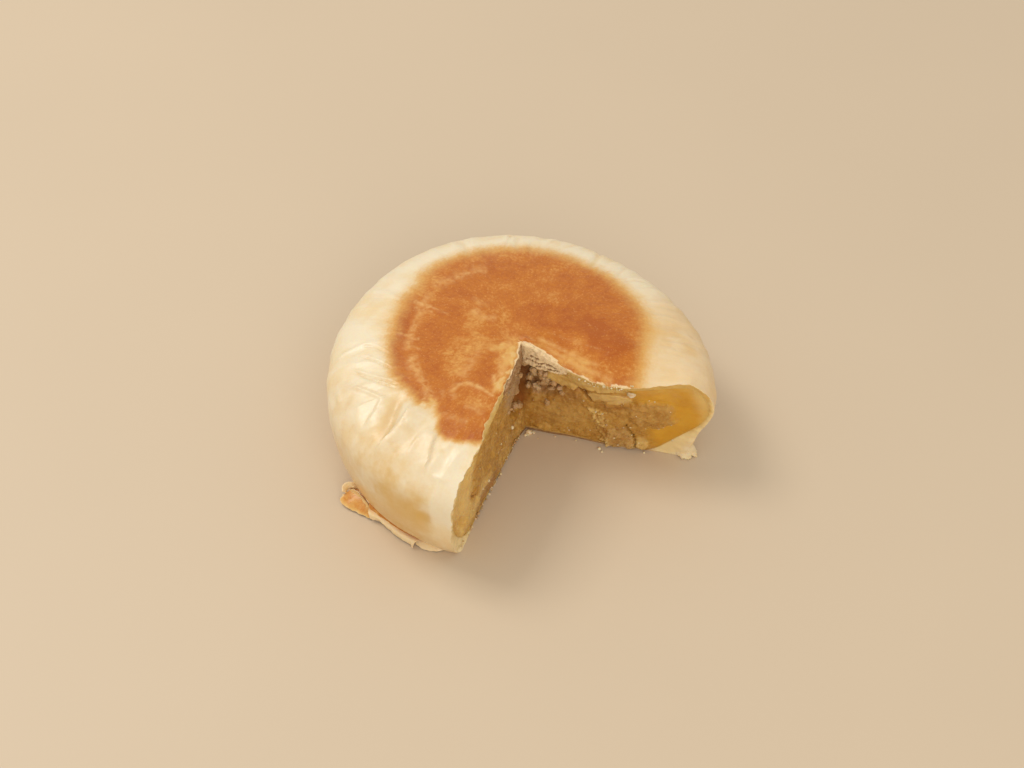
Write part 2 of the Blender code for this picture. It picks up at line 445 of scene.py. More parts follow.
    def cut_distances(self, x: Array, y: Array) -> tuple[Array, Array]:
        """Distance in plan from each point to the right cut and to the left cut."""
        return np.where(x > 0, np.abs(y), np.hypot(x, y)), np.where(y < 0, np.abs(x), np.hypot(x, y))

    def wrap(self, radii: Array, heights: Array, angles: Array) -> Array:
        """Turns a profile round the three quarters that are left, between the uneven cut faces.

        Args:
            radii: radius by row, or by row and column.
            heights: height, in the same way.
            angles: angle of each column in radians, from 0 at the right face.

        Returns:
            Points by row and column.
        """
        reach = radii * self.outline(angles) - self.tuck(radii, heights, np.degrees(angles))
        x, y = reach * np.cos(angles), reach * np.sin(angles)
        right, left = self.cut_distances(x, y)
        moved_y = y + self.face_shift(Side.RIGHT, x, heights) * ease(self.face_reach, 0, right)
        moved_x = x + self.face_shift(Side.LEFT, -y, heights) * ease(self.face_reach, 0, left)
        points = join(moved_x, moved_y, heights)
        points[..., 2] -= self.droop(points)
        return points


# ---- meshes


def place_in_scene(name: str, data: bpy.types.ID) -> Object:
    """Puts a mesh, a light or a camera into the scene.

    Args:
        name: name of the object.
        data: what it shows.

    Returns:
        The object.
    """
    placed = bpy.data.objects.new(name, data)
    bpy.context.scene.collection.objects.link(placed)
    return placed


class MeshDraft:
    """Points, triangles and point values gathered for one piece."""

    def __init__(self, value_names: tuple[str, ...]) -> None:
        """Starts an empty draft.

        Args:
            value_names: names of the values that its points carry.
        """
        self.value_names = value_names
        self.points: list[Array] = []
        self.values: list[Array] = []
        self.triangles: list[Array] = []
        self.count = 0

    def add_points(self, points: Array, values: Optional[Values] = None) -> Array:
        """Adds points.

        Args:
            points: an array whose last axis is x, y, z.
            values: their named values, at each point or for all; one that is left out is 0.

        Returns:
            The points' numbers, in the array's shape.
        """
        shape = points.shape[:-1]
        numbers = np.arange(self.count, self.count + math.prod(shape)).reshape(shape)
        columns = [np.broadcast_to((values or {}).get(name, 0), shape) for name in self.value_names]
        self.points.append(points.reshape(-1, 3))
        self.values.append(np.stack(columns, axis=-1).reshape(-1, len(columns)))
        self.count += numbers.size
        return numbers

    def add_sheet(self, numbers: Array, flip: bool = False) -> None:
        """Adds the triangles between the rows and columns of a grid of point numbers.

        Args:
            numbers: the grid.
            flip: turns the faces over.
        """
        a, b, c, d = numbers[:-1, :-1], numbers[:-1, 1:], numbers[1:, 1:], numbers[1:, :-1]
        faces = np.concatenate([join(a, b, c).reshape(-1, 3), join(a, c, d).reshape(-1, 3)])
        self.triangles.append(faces[:, ::-1] if flip else faces)

    def add_thin_sheet(self, high: Array, low: Array, flip: bool = False) -> None:
        """Closes two grids of point numbers, one over the other, into a thin body.

        Args:
            high: the upper grid.
            low: the lower grid.
            flip: turns all faces over.
        """
        self.add_sheet(high, flip)
        self.add_sheet(low, not flip)
        rims = [np.concatenate([grid[0, :], grid[1:, -1], grid[-1, -2::-1], grid[-2:0:-1, 0], grid[:1, 0]])
                for grid in (high, low)]
        self.add_sheet(np.stack(rims), not flip)

    def finish(self, name: str, sharp_degrees: float, material: Material) -> Object:
        """Joins points that coincide, drops what collapses and makes the object.

        Args:
            name: the piece's name.
            sharp_degrees: the bend from which edges look sharp.
            material: its material.

        Returns:
            The object, in metres in the part's frame.
        """
        points, values = np.concatenate(self.points), np.concatenate(self.values)
        _, first, back = np.unique(np.round(points * 1e4).astype(np.int64), axis=0,
                                   return_index=True, return_inverse=True)
        triangles = back.reshape(-1)[np.concatenate(self.triangles)]
        triangles = triangles[np.all(np.diff(np.sort(triangles, axis=1), axis=1) > 0, axis=1)]
        placed = (points[first] + (*AXIS_PLACE, 0)) * MM
        data = bpy.data.meshes.new(name)
        data.from_pydata(placed.tolist(), [], triangles.tolist())
        for column, value_name in enumerate(self.value_names):
            layer = data.attributes.new(value_name, 'FLOAT', 'POINT')
            layer.data.foreach_set('value', values[first, column].astype(np.float32))
        data.validate()
        data.shade_smooth()
        data.set_sharp_from_angle(angle=math.radians(sharp_degrees))
        data.materials.append(material)
        return place_in_scene(name, data)


def grid_normals(points: Array) -> Array:
    """Unit normals of a grid of points, out of the side where rows x columns turn anticlockwise."""
    normals = np.cross(np.gradient(points, axis=1), np.gradient(points, axis=0))
    return normals / np.maximum(np.linalg.norm(normals, axis=-1, keepdims=True), 1e-9)


# ---- materials


@dataclass(frozen=True)
class Signal:
    """A node's output. Adding, taking away or multiplying adds a Math node for it."""

    bench: "NodeBench"
    socket: Socket

    def __add__(self, other: Factor) -> "Signal":
        """This output plus another."""
        return self.bench.math('ADD', self, other)

    def __sub__(self, other: Factor) -> "Signal":
        """This output less another."""
        return self.bench.math('SUBTRACT', self, other)

    def __mul__(self, other: Factor) -> "Signal":
        """This output times another."""
        return self.bench.math('MULTIPLY', self, other)


class NodeBench:
    """One material and short ways to add its nodes."""

    def __init__(self, name: str) -> None:
        """Starts a material with its Principled shader.

        Args:
            name: the material's name.
        """
        self.material = bpy.data.materials.new(name)
        self.material.use_nodes = True
        self.tree = self.material.node_tree
        self.shader = self.tree.nodes['Principled BSDF']
        self.place = self.node('ShaderNodeTexCoord', {}, 'Object')

    def node(self, kind: str, inputs: dict[int | str, object], output: int | str = 0,
             **settings: object) -> Signal:
        """Adds a node.

        Args:
            kind: its type.
            inputs: for each input, a value or an output to link.
            output: the output wanted.
            **settings: its settings.

        Returns:
            The output.
        """
        made = self.tree.nodes.new(kind)
        for name, value in settings.items():
            setattr(made, name, value)
        self.plug(made, inputs)
        return Signal(self, made.outputs[output])

    def plug(self, node: bpy.types.Node, inputs: dict[int | str, object]) -> None:
        """Sets a node's inputs.

        Args:
            node: the node.
            inputs: for each input, a value or an output to link.
        """
        for name, value in inputs.items():
            if isinstance(value, Signal):
                self.tree.links.new(value.socket, node.inputs[name])
            else:
                node.inputs[name].default_value = value

    def dress(self, colour: Signal, glow: float, glow_radius: Colour, glow_scale: float,
              inputs: dict[str, object]) -> Material:
        """Fills the shader's inputs.

        Args:
            colour: the base colour.
            glow: how much light passes under the surface.
            glow_radius: how far each colour of it goes.
            glow_scale: the same for all, in millimetres.
            inputs: the other inputs.

        Returns:
            The material.
        """
        self.plug(self.shader, {
            'Base Color': colour, 'Subsurface Weight': glow, 'Subsurface Radius': glow_radius,
            'Subsurface Scale': glow_scale * MM, **inputs})
        return self.material

    def value(self, name: str) -> Signal:
        """The point value of this name, as an output."""
        return self.node('ShaderNodeAttribute', {}, 'Fac', attribute_name=name)

    def noise(self, size: float, detail: float = 3, roughness: float = 0.6, twist: float = 0) -> Signal:
        """Noise from 0 to 1, with lumps of size millimetres and detail finer layers."""
        inputs = {'Vector': self.place, 'Scale': 1 / (size * MM), 'Detail': detail, 'Roughness': roughness,
                  'Distortion': twist}
        return self.node('ShaderNodeTexNoise', inputs, 'Fac')

    def drift(self, size: float, most: float, *finer: float) -> Signal:
        """The same noise, swinging to both sides of 0 by half of most."""
        return (self.noise(size, *finer) - 0.5) * most

    def fibres(self, around: float, along: float) -> Signal:
        """Noise from 0 to 1, in fine lines that run up the side and in to the middle of the top.

        Args:
            around: millimetres between lines, on the side.
            along: their length in millimetres.

        Returns:
            The noise.
        """
        turn = (0, 0, math.radians(SEAM_TURN))
        turned = self.node('ShaderNodeMapping', {'Vector': self.place, 'Rotation': turn})
        parts = self.node('ShaderNodeSeparateXYZ', {0: turned}).socket.node.outputs
        x, y, z = (Signal(self, part) for part in parts)
        scale = 1 / (along * MM)
        place = {'X': self.math('ARCTAN2', y, x) * (SIDE_RADIUS / around),
                 'Y': self.math('SQRT', x * x + y * y) * scale, 'Z': z * scale}
        inputs = {'Vector': self.node('ShaderNodeCombineXYZ', place), 'Scale': 1, 'Detail': 3, 'Roughness': 0.6}
        return self.node('ShaderNodeTexNoise', inputs, 'Fac')

    def math(self, kind: str, first: Factor, second: Factor = 0, clamp: bool = False) -> Signal:
        """A Math node of this kind on first and second."""
        return self.node('ShaderNodeMath', {0: first, 1: second}, operation=kind, use_clamp=clamp)

    def grey(self, factor: Signal, low: float, high: float) -> Signal:
        """A smooth rise of factor from 0 at low to 1 at high."""
        return self.node('ShaderNodeMapRange', {'Value': factor, 'From Min': low, 'From Max': high},
                         interpolation_type='SMOOTHSTEP')

    def mix(self, factor: Signal, *colours: Signal | Colour) -> Signal:
        """Mixes two colours, the second by factor."""
        first, second = (colour if isinstance(colour, Signal) else (*colour, 1) for colour in colours)
        return self.node('ShaderNodeMix', {0: factor, 6: first, 7: second}, 2, data_type='RGBA')

    def ramp(self, factor: Signal, stops: tuple[tuple[float, Colour], ...]) -> Signal:
        """A colour ramp.

        Args:
            factor: its input.
            stops: the place and the colour of each stop.

        Returns:
            Its colour.
        """
        colour = self.node('ShaderNodeValToRGB', {0: factor})
        elements = colour.socket.node.color_ramp.elements
        while len(elements) < len(stops):
            elements.new(0.5)
        for element, (place, shade) in zip(elements, stops):
            element.position = place
            element.color = (*shade, 1)
        return colour

    def bump(self, height: Signal, depth: float, strength: float, **under: Signal) -> Signal:
        """Bumps depth millimetres deep; Normal, if given, is an earlier bump that they lie on."""
        inputs = {'Height': height, 'Strength': strength, 'Distance': depth * MM}
        return self.node('ShaderNodeBump', {**inputs, **under})


@dataclass(frozen=True)
class SkinFinish:
    """Baked pastry: ivory to golden skin, browned where it lay on the pan, pale and layered where torn."""

    ivory: Colour = (0.84, 0.722, 0.507)
    cream: Colour = (0.82, 0.64, 0.37)
    # warm tone of patches of the side; in the creases it is painted shade
    golden: Colour = (0.66, 0.39, 0.095)
    warm_and_crease_shade: Colour = (0.74, 0.51, 0.25)
    tan: Colour = (0.72, 0.42, 0.115)
    light_orange: Colour = (0.67, 0.32, 0.07)
    orange: Colour = (0.53, 0.165, 0.012)
    dark_orange: Colour = (0.42, 0.1, 0.004)
    streak: Colour = (0.76, 0.43, 0.145)
    section_pale: Colour = (0.81, 0.61, 0.29)
    section_gold: Colour = (0.64, 0.39, 0.1)
    torn: Colour = (0.86, 0.63, 0.345)
    torn_shadow: Colour = (0.3, 0.145, 0.05)
    roughness: float = 0.34
    gloss: float = 0.18
    glow: float = 0.12

    def plain_skin(self, bench: NodeBench) -> Signal:
        """Colour of the unbrowned skin: ivory drifting to cream, with painted highlight on raised folds and
        painted shade in their valleys and creases, golden where the filling glows through.

        Args:
            bench: the material's bench.

        Returns:
            The colour.
        """
        soft = bench.noise(8, 3, 0.55, 0.6) + (bench.fibres(1.1, 9) - 0.5) * 0.35
        # painted highlight and shade: raised folds lean to ivory, their valleys to cream
        soft = soft - bench.value("raised") * 0.45
        body = bench.mix(bench.grey(soft, 0.18, 0.58), self.ivory, self.cream)
        drift = bench.drift(2.4, 0.55)
        body = bench.mix(bench.grey(bench.value("golden") + drift, 0.05, 1), body, self.golden)
        # warm patches, and painted shade in the creases
        return bench.mix(bench.grey(bench.value("warm_and_crease_shade") + drift * 0.5, 0.02, 1.05), body, self.warm_and_crease_shade)

    def browned_skin(self, bench: NodeBench) -> Signal:
        """Colour of the browned skin, from light to dark orange, with pale streaks and fine light grains.

        Args:
            bench: the material's bench.

        Returns:
            The colour.
        """
        clouds, grain = bench.drift(2.8, 0.95, 4, 0.62, 0.5), bench.drift(0.55, 0.65)
        heat = bench.value("toast") + (clouds + (grain + (bench.fibres(0.9, 5) - 0.5) * 0.35))
        colour = bench.ramp(heat, ((0, self.tan), (0.26, self.light_orange), (0.58, self.orange),
                                   (1, self.dark_orange)))
        colour = bench.mix(bench.grey(bench.value("streak") + grain * 1.1, 0.1, 1.05), colour, self.streak)
        return bench.mix(bench.grey(bench.noise(0.34, 1, 0.5), 0.6, 0.74) * 0.26, colour, self.streak)

    def cut_skin(self, bench: NodeBench) -> Signal:
        """Colour of the cut through the skin, pale outside and golden towards the filling."""
        depth = bench.value("section_and_shade") + bench.drift(0.9, 0.5)
        return bench.mix(bench.grey(depth, 0.25, 1), self.section_pale, self.section_gold)

    def material(self) -> Material:
        """Builds the material.

        Returns:
            A material that reads the point values named in SKIN_VALUES.
        """
        bench = NodeBench("baked_pastry_skin")
        fine = bench.noise(0.5)
        cover = bench.value("browned") + (fine - 0.5) * 0.3
        body = bench.mix(bench.grey(cover, -0.05, 0.62), self.plain_skin(bench), self.tan)
        body = bench.mix(bench.grey(cover, 0.24, 1), body, self.browned_skin(bench))
        body = bench.mix(bench.grey(bench.value("section_and_shade"), 0.02, 0.22), body, self.cut_skin(bench))
        # torn pastry darkens towards torn_shadow where its cut value is high: painted shade in the gaps and
        # cracks of the torn layers, and a painted contact shadow along the base line
        gaps = bench.grey(bench.value("section_and_shade") + bench.drift(0.6, 0.7), 0.05, 0.95)
        torn = bench.mix(gaps, self.torn, self.torn_shadow)
        body = bench.mix(bench.grey(bench.value("torn"), 0.15, 0.85), body, torn)
        rough = (fine - 0.5) * 0.25 + self.roughness
        rough = bench.math('ADD', rough, bench.value("torn") * 0.25, clamp=True)
        normal = bench.bump(bench.fibres(0.5, 5), 0.07, 0.4)
        normal = bench.bump(bench.noise(1.2, 4), 0.1, 0.5, Normal=normal)
        normal = bench.bump(fine, 0.05, 0.5, Normal=normal)
        return bench.dress(body, self.glow, (1, 0.55, 0.2), 1.6, {
            'Roughness': rough, 'Normal': normal, 'Metallic': 0, 'Specular IOR Level': 0.32,
            'Coat Weight': self.gloss, 'Coat Roughness': 0.22})


@dataclass(frozen=True)
class PasteFinish:
    """Mung bean paste: fine-grained and moist, deep amber where it is dense and yellower where smooth."""

    grainy: Colour = (0.53, 0.275, 0.052)
    grainy_dark: Colour = (0.4, 0.18, 0.026)
    amber: Colour = (0.66, 0.34, 0.03)
    amber_deep: Colour = (0.57, 0.26, 0.018)
    yellow: Colour = (0.74, 0.49, 0.16)
    dull: Colour = (0.42, 0.25, 0.115)
    # dark reddish brown: painted shade in the paste's inner corner, crevices, cracks, hollows, between lumps
    # and under ledges, with some darker paste
    stain_and_shade: Colour = (0.27, 0.075, 0.012)
    roughness: float = 0.4
    glow: float = 0.22

    def material(self) -> Material:
        """Builds the material.

        Returns:
            A material that reads the point values named in PASTE_VALUES.
        """
        bench = NodeBench("mung_bean_paste")
        amber, yellow, dull, stain_and_shade = (bench.value(name) for name in PASTE_VALUES)
        grains, clumps = bench.noise(0.5), bench.noise(2.6, 4, twist=0.4)
        body = bench.mix(bench.grey(clumps, 0.32, 0.68), self.grainy_dark, self.grainy)
        body = bench.mix(bench.grey(grains, 0.5, 0.76) * 0.4, body, self.yellow)
        body = bench.mix(bench.grey(bench.noise(1.1, twist=0.3), 0.48, 0.72) * 0.35, body, self.yellow)
        smears = bench.grey(bench.noise(6, 2, 0.5, twist=0.4), 0.3, 0.72)
        body = bench.mix(amber, body, bench.mix(smears, self.amber_deep, self.amber))
        drift = (clumps - 0.5) * 0.5
        body = bench.mix(bench.grey(yellow + drift, 0.1, 1), body, self.yellow)
        body = bench.mix(bench.grey(dull + drift * 0.6, 0.1, 1), body, self.dull)
        body = bench.mix(stain_and_shade, body, self.stain_and_shade)
        smooth = bench.math('MAXIMUM', amber, yellow)
        height = (grains + clumps * 0.6) * bench.math('SUBTRACT', 1, smooth * 0.75)
        return bench.dress(body, self.glow, (1, 0.5, 0.12), 2, {
            'Roughness': smooth * -0.12 + self.roughness, 'Normal': bench.bump(height, 0.18, 0.7),
            'Metallic': 0, 'Specular IOR Level': 0.3})


@dataclass(frozen=True)
class CrumbFinish:
    """Crumbs: moist amber paste where tint is 0, dry pale pastry where it is 1."""

    moist: Colour = (0.5, 0.29, 0.115)
    dry: Colour = (0.84, 0.68, 0.42)
    roughness: float = 0.42
    glow: float = 0.35

    def material(self) -> Material:
        """Builds the material.

        Returns:
            A material that reads the point value tint.
        """
        bench = NodeBench("paste_and_pastry_crumbs")
        grains = bench.noise(0.3)
        colour = bench.mix(bench.grey(bench.value("tint") + (grains - 0.5) * 0.4, 0, 1), self.moist, self.dry)
        return bench.dress(colour, self.glow, (1, 0.6, 0.25), 0.8,
                           {'Roughness': self.roughness, 'Normal': bench.bump(grains, 0.1, 0.6)})


@dataclass(frozen=True)
class FloorFinish:
    """A plain pale matte floor."""

    colour: Colour = (0.64, 0.51, 0.355)
    roughness: float = 0.55

    def material(self) -> Material:
        """Builds the material.

        Returns:
            The material.
        """
        bench = NodeBench("plain_floor")
        darker = tuple(part * 0.96 for part in self.colour)
        colour = bench.mix(bench.noise(60, 2, 0.5), darker, self.colour)
        bench.plug(bench.shader, {'Base Color': colour, 'Roughness': self.roughness})
        return bench.material


# ---- the pastry skin


class Outside:
    """The smooth outer surface by row and column, and what the skin's features are worked out from."""

    def __init__(self, shape: CakeShape, places: Array, columns: int) -> None:
        """Works out the surface.

        Args:
            shape: the cake's form.
            places: the rows' places along the profile.
            columns: number of columns round the cake.
        """
        profile = shape.outer_profile(places)
        angles = np.linspace(0, THREE_QUARTERS, columns + 1)[None, :]
        self.points = shape.wrap(profile[:, :1], profile[:, 1:], angles)
        self.x, self.y, self.z = np.moveaxis(self.points, -1, 0)
        self.plan = join(self.x, self.y, 0)
        self.radius = np.hypot(self.x, self.y)
        self.angle = np.degrees(angles)
        self.before_droop = profile[:, 1:]
        self.from_middle = profile[:, :1]
        self.from_right = self.y - shape.face_shift(Side.RIGHT, self.x, self.before_droop)
        self.from_left = shape.face_shift(Side.LEFT, -self.y, self.before_droop) - self.x

    def noise(self, size: float, octaves: int, seed: int) -> Array:
        """Noise at each point."""
        return noise(self.points, size, octaves, seed)

    def plan_noise(self, size: float, octaves: int, seed: int) -> Array:
        """Noise at each point's place in plan."""
        return noise(self.plan, size, octaves, seed)


@dataclass(frozen=True)
class Fold:
    """One fold of the skin, seen in plan."""

    line: Plan
    kind: FoldKind
    half_width: float
    height: float
    fade: float = 0.25
    step_span: Pair = (-0.22, 0.16)  # across the line, where a step rises
    step_reach: float = 6  # how far it goes, how far a lip is off and how wide it is, in half widths
    lip_place: float = 2.1
    lip_width: float = 1.3
    lip_height: float = 0.45

    def relief(self, x: Array, y: Array) -> Array:
        """How far this fold raises the skin.

        Args:
            x: first coordinate of the places.
            y: second coordinate.

        Returns:
            The height at each place, below 0 where the skin is pressed in.
        """
        away, signed, share = line_gap(x, y, self.line)
        height = self.height * ease(0, self.fade, share) * ease(1, 1 - self.fade, share)
        if self.kind is FoldKind.STEP:
            return height * ease(*self.step_span, signed) * ease(self.half_width * self.step_reach, 0, away)
        form = np.exp(-(away / self.half_width) ** 2)
        if self.kind is FoldKind.GROOVE:
            lip = np.exp(-((signed / self.half_width - self.lip_place) / self.lip_width) ** 2)
            form = self.lip_height * lip - form
        return height * form


@dataclass(frozen=True)
class CreaseSector:
    """A stretch of the shoulder whose radial creases look alike; each pair is the least and the most."""

    start: float
    end: float
    spacing: float
    half_width: Pair
    depth: Pair
    inner_radius: Pair
    outer_radius: Pair
    slant: Pair = (-0.35, 0.35)
    bend: Pair = (-0.05, 0.05)
    spacing_spread: Pair = (0.6, 1.5)


@dataclass
class PastrySkin:
    """The baked skin: outer surface with its folds, torn cut edges and inner surface, as one closed shell."""

    shape: CakeShape
    columns: int = 520
    inner_columns: int = 44
    base_step: float = 3.3
    row_steps: Plan = ((1, 0.55), (1.6, 0.5), (1.8, 0.36), (2, 0.33), (2.8, 0.34), (2.88, 0.42), (3, 0.42))
    edge_rows: int = 10
    side_thickness: float = 1
    top_thickness: float = 1.05
    base_thickness: float = 0.6
    foot_width: float = 5
    lip_right: float = 3.4
    lip_left: float = 1.3
    flake_gap: float = 0.5
    crease_seed: int = 11
    crease_radius: float = 30
    crease_lip: float = 0.4
    crease_lip_place: float = 1.9
    crease_lip_width: float = 1.2
    deep_crease: float = 0.34  # depth that counts as wholly inside a crease
    facet_slant: float = 0.35
    facet_widths: Pair = (6, 12)
    facet_dip: Pair = (0.08, 0.22)
    lumps: Rows = ((11, 2, 5, 0.2), (3.2, 3, 9, 0.06))  # size, layers, seed, height
    blister_height: float = 0.07
    tear_end: float = 22  # along the right face
    tear_wide: tuple[Pair, Pair] = ((-0.8, 1.6), (9, 4.5))  # where it widens and where it narrows again
    tear_widths: Pair = (0.28, 0.35)  # narrow, and what the wide stretch adds, as for the next
    tear_drops: Pair = (0.12, 0.2)
    left_tear_end: float = 12
    left_tear_drop: float = 0.25
    scar_height: Pair = (3.4, 2.2)
    underside_reach: Pair = (32, 25)
    streak_height: float = 0.13
    left_tooth: Spot = Spot((-27.2, 18.9), (1.3, 1.5), 0, 1.2)  # y and height at the left cut
    left_bite: Spot = Spot((-30.4, 13), (2.6, 3.6), 0, 1.2)
    folds_from: Pair = (11, 16)  # heights between which they set in, as for the next five
    creases_from: Pair = (7, 13)
    facets_from: Pair = (6, 14)
    lumps_from: Pair = (4, 13)
    brown_from: Pair = (15, 18)
    top_from: Pair = (16, 19)
    shoulder_from: Pair = (23, 28)  # radii
    shoulder_rise: float = 0.12
    streaks_above: float = 18
    patch_edge: float = 0.9
    sectors: tuple[CreaseSector, ...] = (
        CreaseSector(3, 36, 1.9, (0.3, 0.6), (0.06, 0.15), (23.5, 26), (30, 35.5)),
        CreaseSector(36, 128, 3.2, (0.35, 0.85), (0.08, 0.22), (24.5, 28.5), (31, 36.5)),
        CreaseSector(128, 186, 3.4, (0.3, 0.6), (0.02, 0.06), (27, 29.5), (31, 36)),
        CreaseSector(186, 226, 1.6, (0.15, 0.26), (0.03, 0.08), (25.8, 29.5), (29, 34.5)),
        CreaseSector(226, 268, 5.5, (0.2, 0.4), (0.02, 0.06), (26, 30), (31, 36)),
    )
    folds: tuple[Fold, ...] = (
        Fold(((-34.6, -10.3), (-33, -9), (-30.4, -7.4), (-27, -5.8)), FoldKind.RIDGE, 0.4, 0.2),
        Fold(((-30.2, -7.2), (-27, -7.4), (-23.6, -9)), FoldKind.GROOVE, 0.22, 0.14),
        Fold(((-29.8, -9.6), (-25.1, -11.3), (-21.4, -12.9)), FoldKind.GROOVE, 0.22, 0.2),
        Fold(((-30.4, -13.4), (-24.4, -15.3), (-18.7, -16.5)), FoldKind.GROOVE, 0.24, 0.28),
        Fold(((-29, -14.2), (-23.5, -16.1), (-18.9, -17.4)), FoldKind.GROOVE, 0.2, 0.22),
        Fold(((-28.9, -17), (-24.3, -18.6), (-20, -20.3)), FoldKind.RIDGE, 0.36, 0.3),
        Fold(((-31.2, -17.2), (-30.2, -19.2), (-29.4, -20.6)), FoldKind.RIDGE, 0.55, 0.24),
        Fold(((-18.3, -17.6), (-18.1, -22.9), (-18.3, -30)), FoldKind.GROOVE, 1.5, 0.7, 0.4),
        Fold(((-15, -19.9), (-15.9, -24.1), (-17.4, -27.2), (-19.6, -31.4)), FoldKind.STEP, 0.75, 0.62, 0.22),
        Fold(((-8.9, -35), (-8.3, -31.2), (-8.6, -27.6), (-8.3, -24.6)), FoldKind.STEP, 0.6, 0.46, 0.25),
        Fold(((-21.4, -18.9), (-21.8, -22.6), (-22.9, -26.4)), FoldKind.STEP, 0.6, 0.3, 0.3),
        Fold(((-11.7, -25.4), (-12.3, -29), (-13.4, -32.6)), FoldKind.STEP, 0.5, 0.16, 0.35),
        Fold(((-7.6, -33.7), (-5.1, -33.9), (-3, -34)), FoldKind.RIDGE, 0.45, 0.24),
        Fold(((-3.6, -26.6), (-3.9, -30), (-4.3, -33.4)), FoldKind.RIDGE, 1.1, 0.24, 0.35),
        Fold(((-26.2, -20.8), (-24.4, -24.6), (-23.6, -28)), FoldKind.RIDGE, 1.1, 0.2, 0.4),
        Fold(((-1, 0.6), (0.6, 0.3), (1.8, -0.4)), FoldKind.GROOVE, 0.3, 0.5),
    )
    dents: Rows = (  # x, y, radius, depth
        (-14.6, -21.6, 0.45, 0.16), (-14.9, -24.6, 0.4, 0.18), (-13.9, -25.3, 0.35, 0.14),
        (-15.8, -28.9, 0.45, 0.18), (-15.2, -30.4, 0.5, 0.16), (-6.3, -29.2, 0.5, 0.12),
        (-30, -15.6, 0.5, 0.12), (-23.2, -27.4, 0.5, 0.14), (28.2, 8, 0.5, 0.14), (30, 14.2, 0.5, 0.12),
    )
    brown_reach: Rows = (  # angle, radius, half blur, fringe
        (-4, 22.8, 3, 0.4), (17, 23.4, 3.2, 0.4), (30, 25, 3.2, 0.5), (50, 25.6, 3.2, 0.5),
        (80, 26.8, 3, 0.5), (105, 28.6, 3, 0.5), (129, 29.4, 3, 0.4), (144, 29.2, 3, 0.4),
        (151, 28, 3.2, 0.5), (156, 26.8, 3.2, 0.6), (168, 26.3, 3.2, 0.8), (174, 26, 3.4, 0.8),
        (188, 25.4, 3, 0.4), (199, 25.3, 2.6, 0.4), (207, 25.2, 2.2, 0.6), (217, 25, 2.2, 0.9),
        (227, 24.4, 2.2, 0.9), (231, 24.2, 2, 0.8), (234, 25, 1.8, 0.7), (238, 23.9, 1.6, 0.7),
        (243, 23.7, 1.4, 0.6), (247, 24.2, 1.3, 0.6), (250, 26, 1.2, 0.5), (256, 27.2, 1.1, 0.4),
        (261, 26.9, 1, 0.4), (265, 26.2, 1, 0.5), (272, 25.7, 1, 0.5),
    )
    warm_patches: Rows = (  # angle, height, spans, strength
        (2, 16, 24, 11, 0.75), (32, 16, 20, 12, 0.8), (205, 9, 15, 6.5, 0.5), (226, 7, 14, 6, 0.55),
        (250, 9, 12, 5, 0.45), (222, 18.5, 3, 2.5, 0.3), (214, 23, 22, 1.5, 0.25), (170, 23, 20, 1.3, 0.25),
        (100, 12, 60, 9, 0.4),
    )
    streaks: tuple[tuple[Plan, float, float], ...] = (  # line, half width, strength
        (((-11.5, 18.6), (-15.7, 16.8), (-19, 13.1), (-21.7, 10.2)), 1.6, 0.55),
        (((-21.9, 10.2), (-21.5, 4.7), (-21.3, -1.3), (-20.9, -5.3), (-20.1, -8.3)), 1.1, 0.6),
        (((-19.9, -7.8), (-18, -10.8), (-15.6, -14), (-13.8, -16.2), (-11.7, -18.6),
          (-9.8, -20.4)), 1.15, 0.68),
        (((-24, 6.1), (-22.4, 5.5), (-21, 5), (-19.4, 4.7)), 0.75, 0.8),
        (((-20.6, 4.9), (-19, 4.6), (-17.2, 3.9), (-15.2, 3.5)), 0.25, 0.6),
        (((-23.2, 4.6), (-21, 3.4), (-18.4, 3.3)), 0.4, 0.6),
        (((-24.6, -3), (-22.2, -3.6), (-20.4, -4.4), (-18.6, -4.2)), 0.35, 0.75),
        (((-21.3, -6.6), (-19.8, -6.2), (-17.6, -7)), 0.35, 0.55),
        (((-20.3, -11.8), (-17.4, -12.3), (-15, -13.4)), 0.3, 0.45),
        (((-8.6, -14.6), (-8, -13.8), (-6.7, -13.1), (-4.2, -13.7), (-2.3, -14.4), (-0.1, -15.5)), 0.4, 0.9),
        (((-4.9, -4.6), (-4.2, -2.9), (-2.4, -1.7), (-1.4, -0.8)), 1.1, 0.6),
        (((-7.4, -3.6), (-7.6, -6.2), (-7.9, -9.6), (-8.1, -12.8)), 1.2, 0.6),
        (((-8.3, -13.4), (-8.6, -15.8), (-7.6, -17.9)), 0.7, 0.6),
        (((-2.9, -9.4), (-2, -11.2), (-1.4, -13.2), (-1.6, -14.8)), 0.5, 0.85),
        (((-0.4, -1.6), (-1.2, -4.4), (-1.7, -7.2), (-0.9, -9.6), (-0.6, -12.6)), 0.9, 0.8),
        (((-13.5, -18.4), (-11.6, -19.6), (-10.6, -22.6)), 1.6, 0.7),
        (((-9.4, -21), (-6.6, -21.9), (-3, -22.4)), 0.7, 0.5),
        (((-5.9, -18.4), (-3.4, -18.9), (-1.4, -20.2)), 0.9, 0.55),
        (((-10.6, -15.4), (-10, -18.2)), 0.8, 0.5),
        (((1.4, 2.2), (7, 1.4), (11.5, 0.6), (16, -0.4)), 0.5, 0.62),
        (((3.4, 0.9), (9, 0), (14.5, -1.2), (19, -1.6)), 0.45, 0.6),
        (((2, 4.4), (9, 3.6), (16, 2.6)), 0.45, 0.35),
        (((-12, 6), (-9, 4.6), (-6, 4.9)), 1, 0.6),
        (((-13.4, 9.8), (-10.4, 7.6), (-8.6, 8.2)), 0.9, 0.45),
    )
    worn_patches: Rows = (  # where the browned top has rubbed off: x, y, half lengths, turn, strength
        (-0.9, -4.4, 1.3, 3.8, 0, 0.4), (-0.6, -11.9, 1, 1.7, 0, 0.6), (0.1, -8.6, 0.8, 2.6, 0, 0.4),
        (-3.6, -2.6, 1.8, 0.9, 40, 0.3), (-11.6, -20.2, 1.5, 1.9, 10, 0.45),
    )
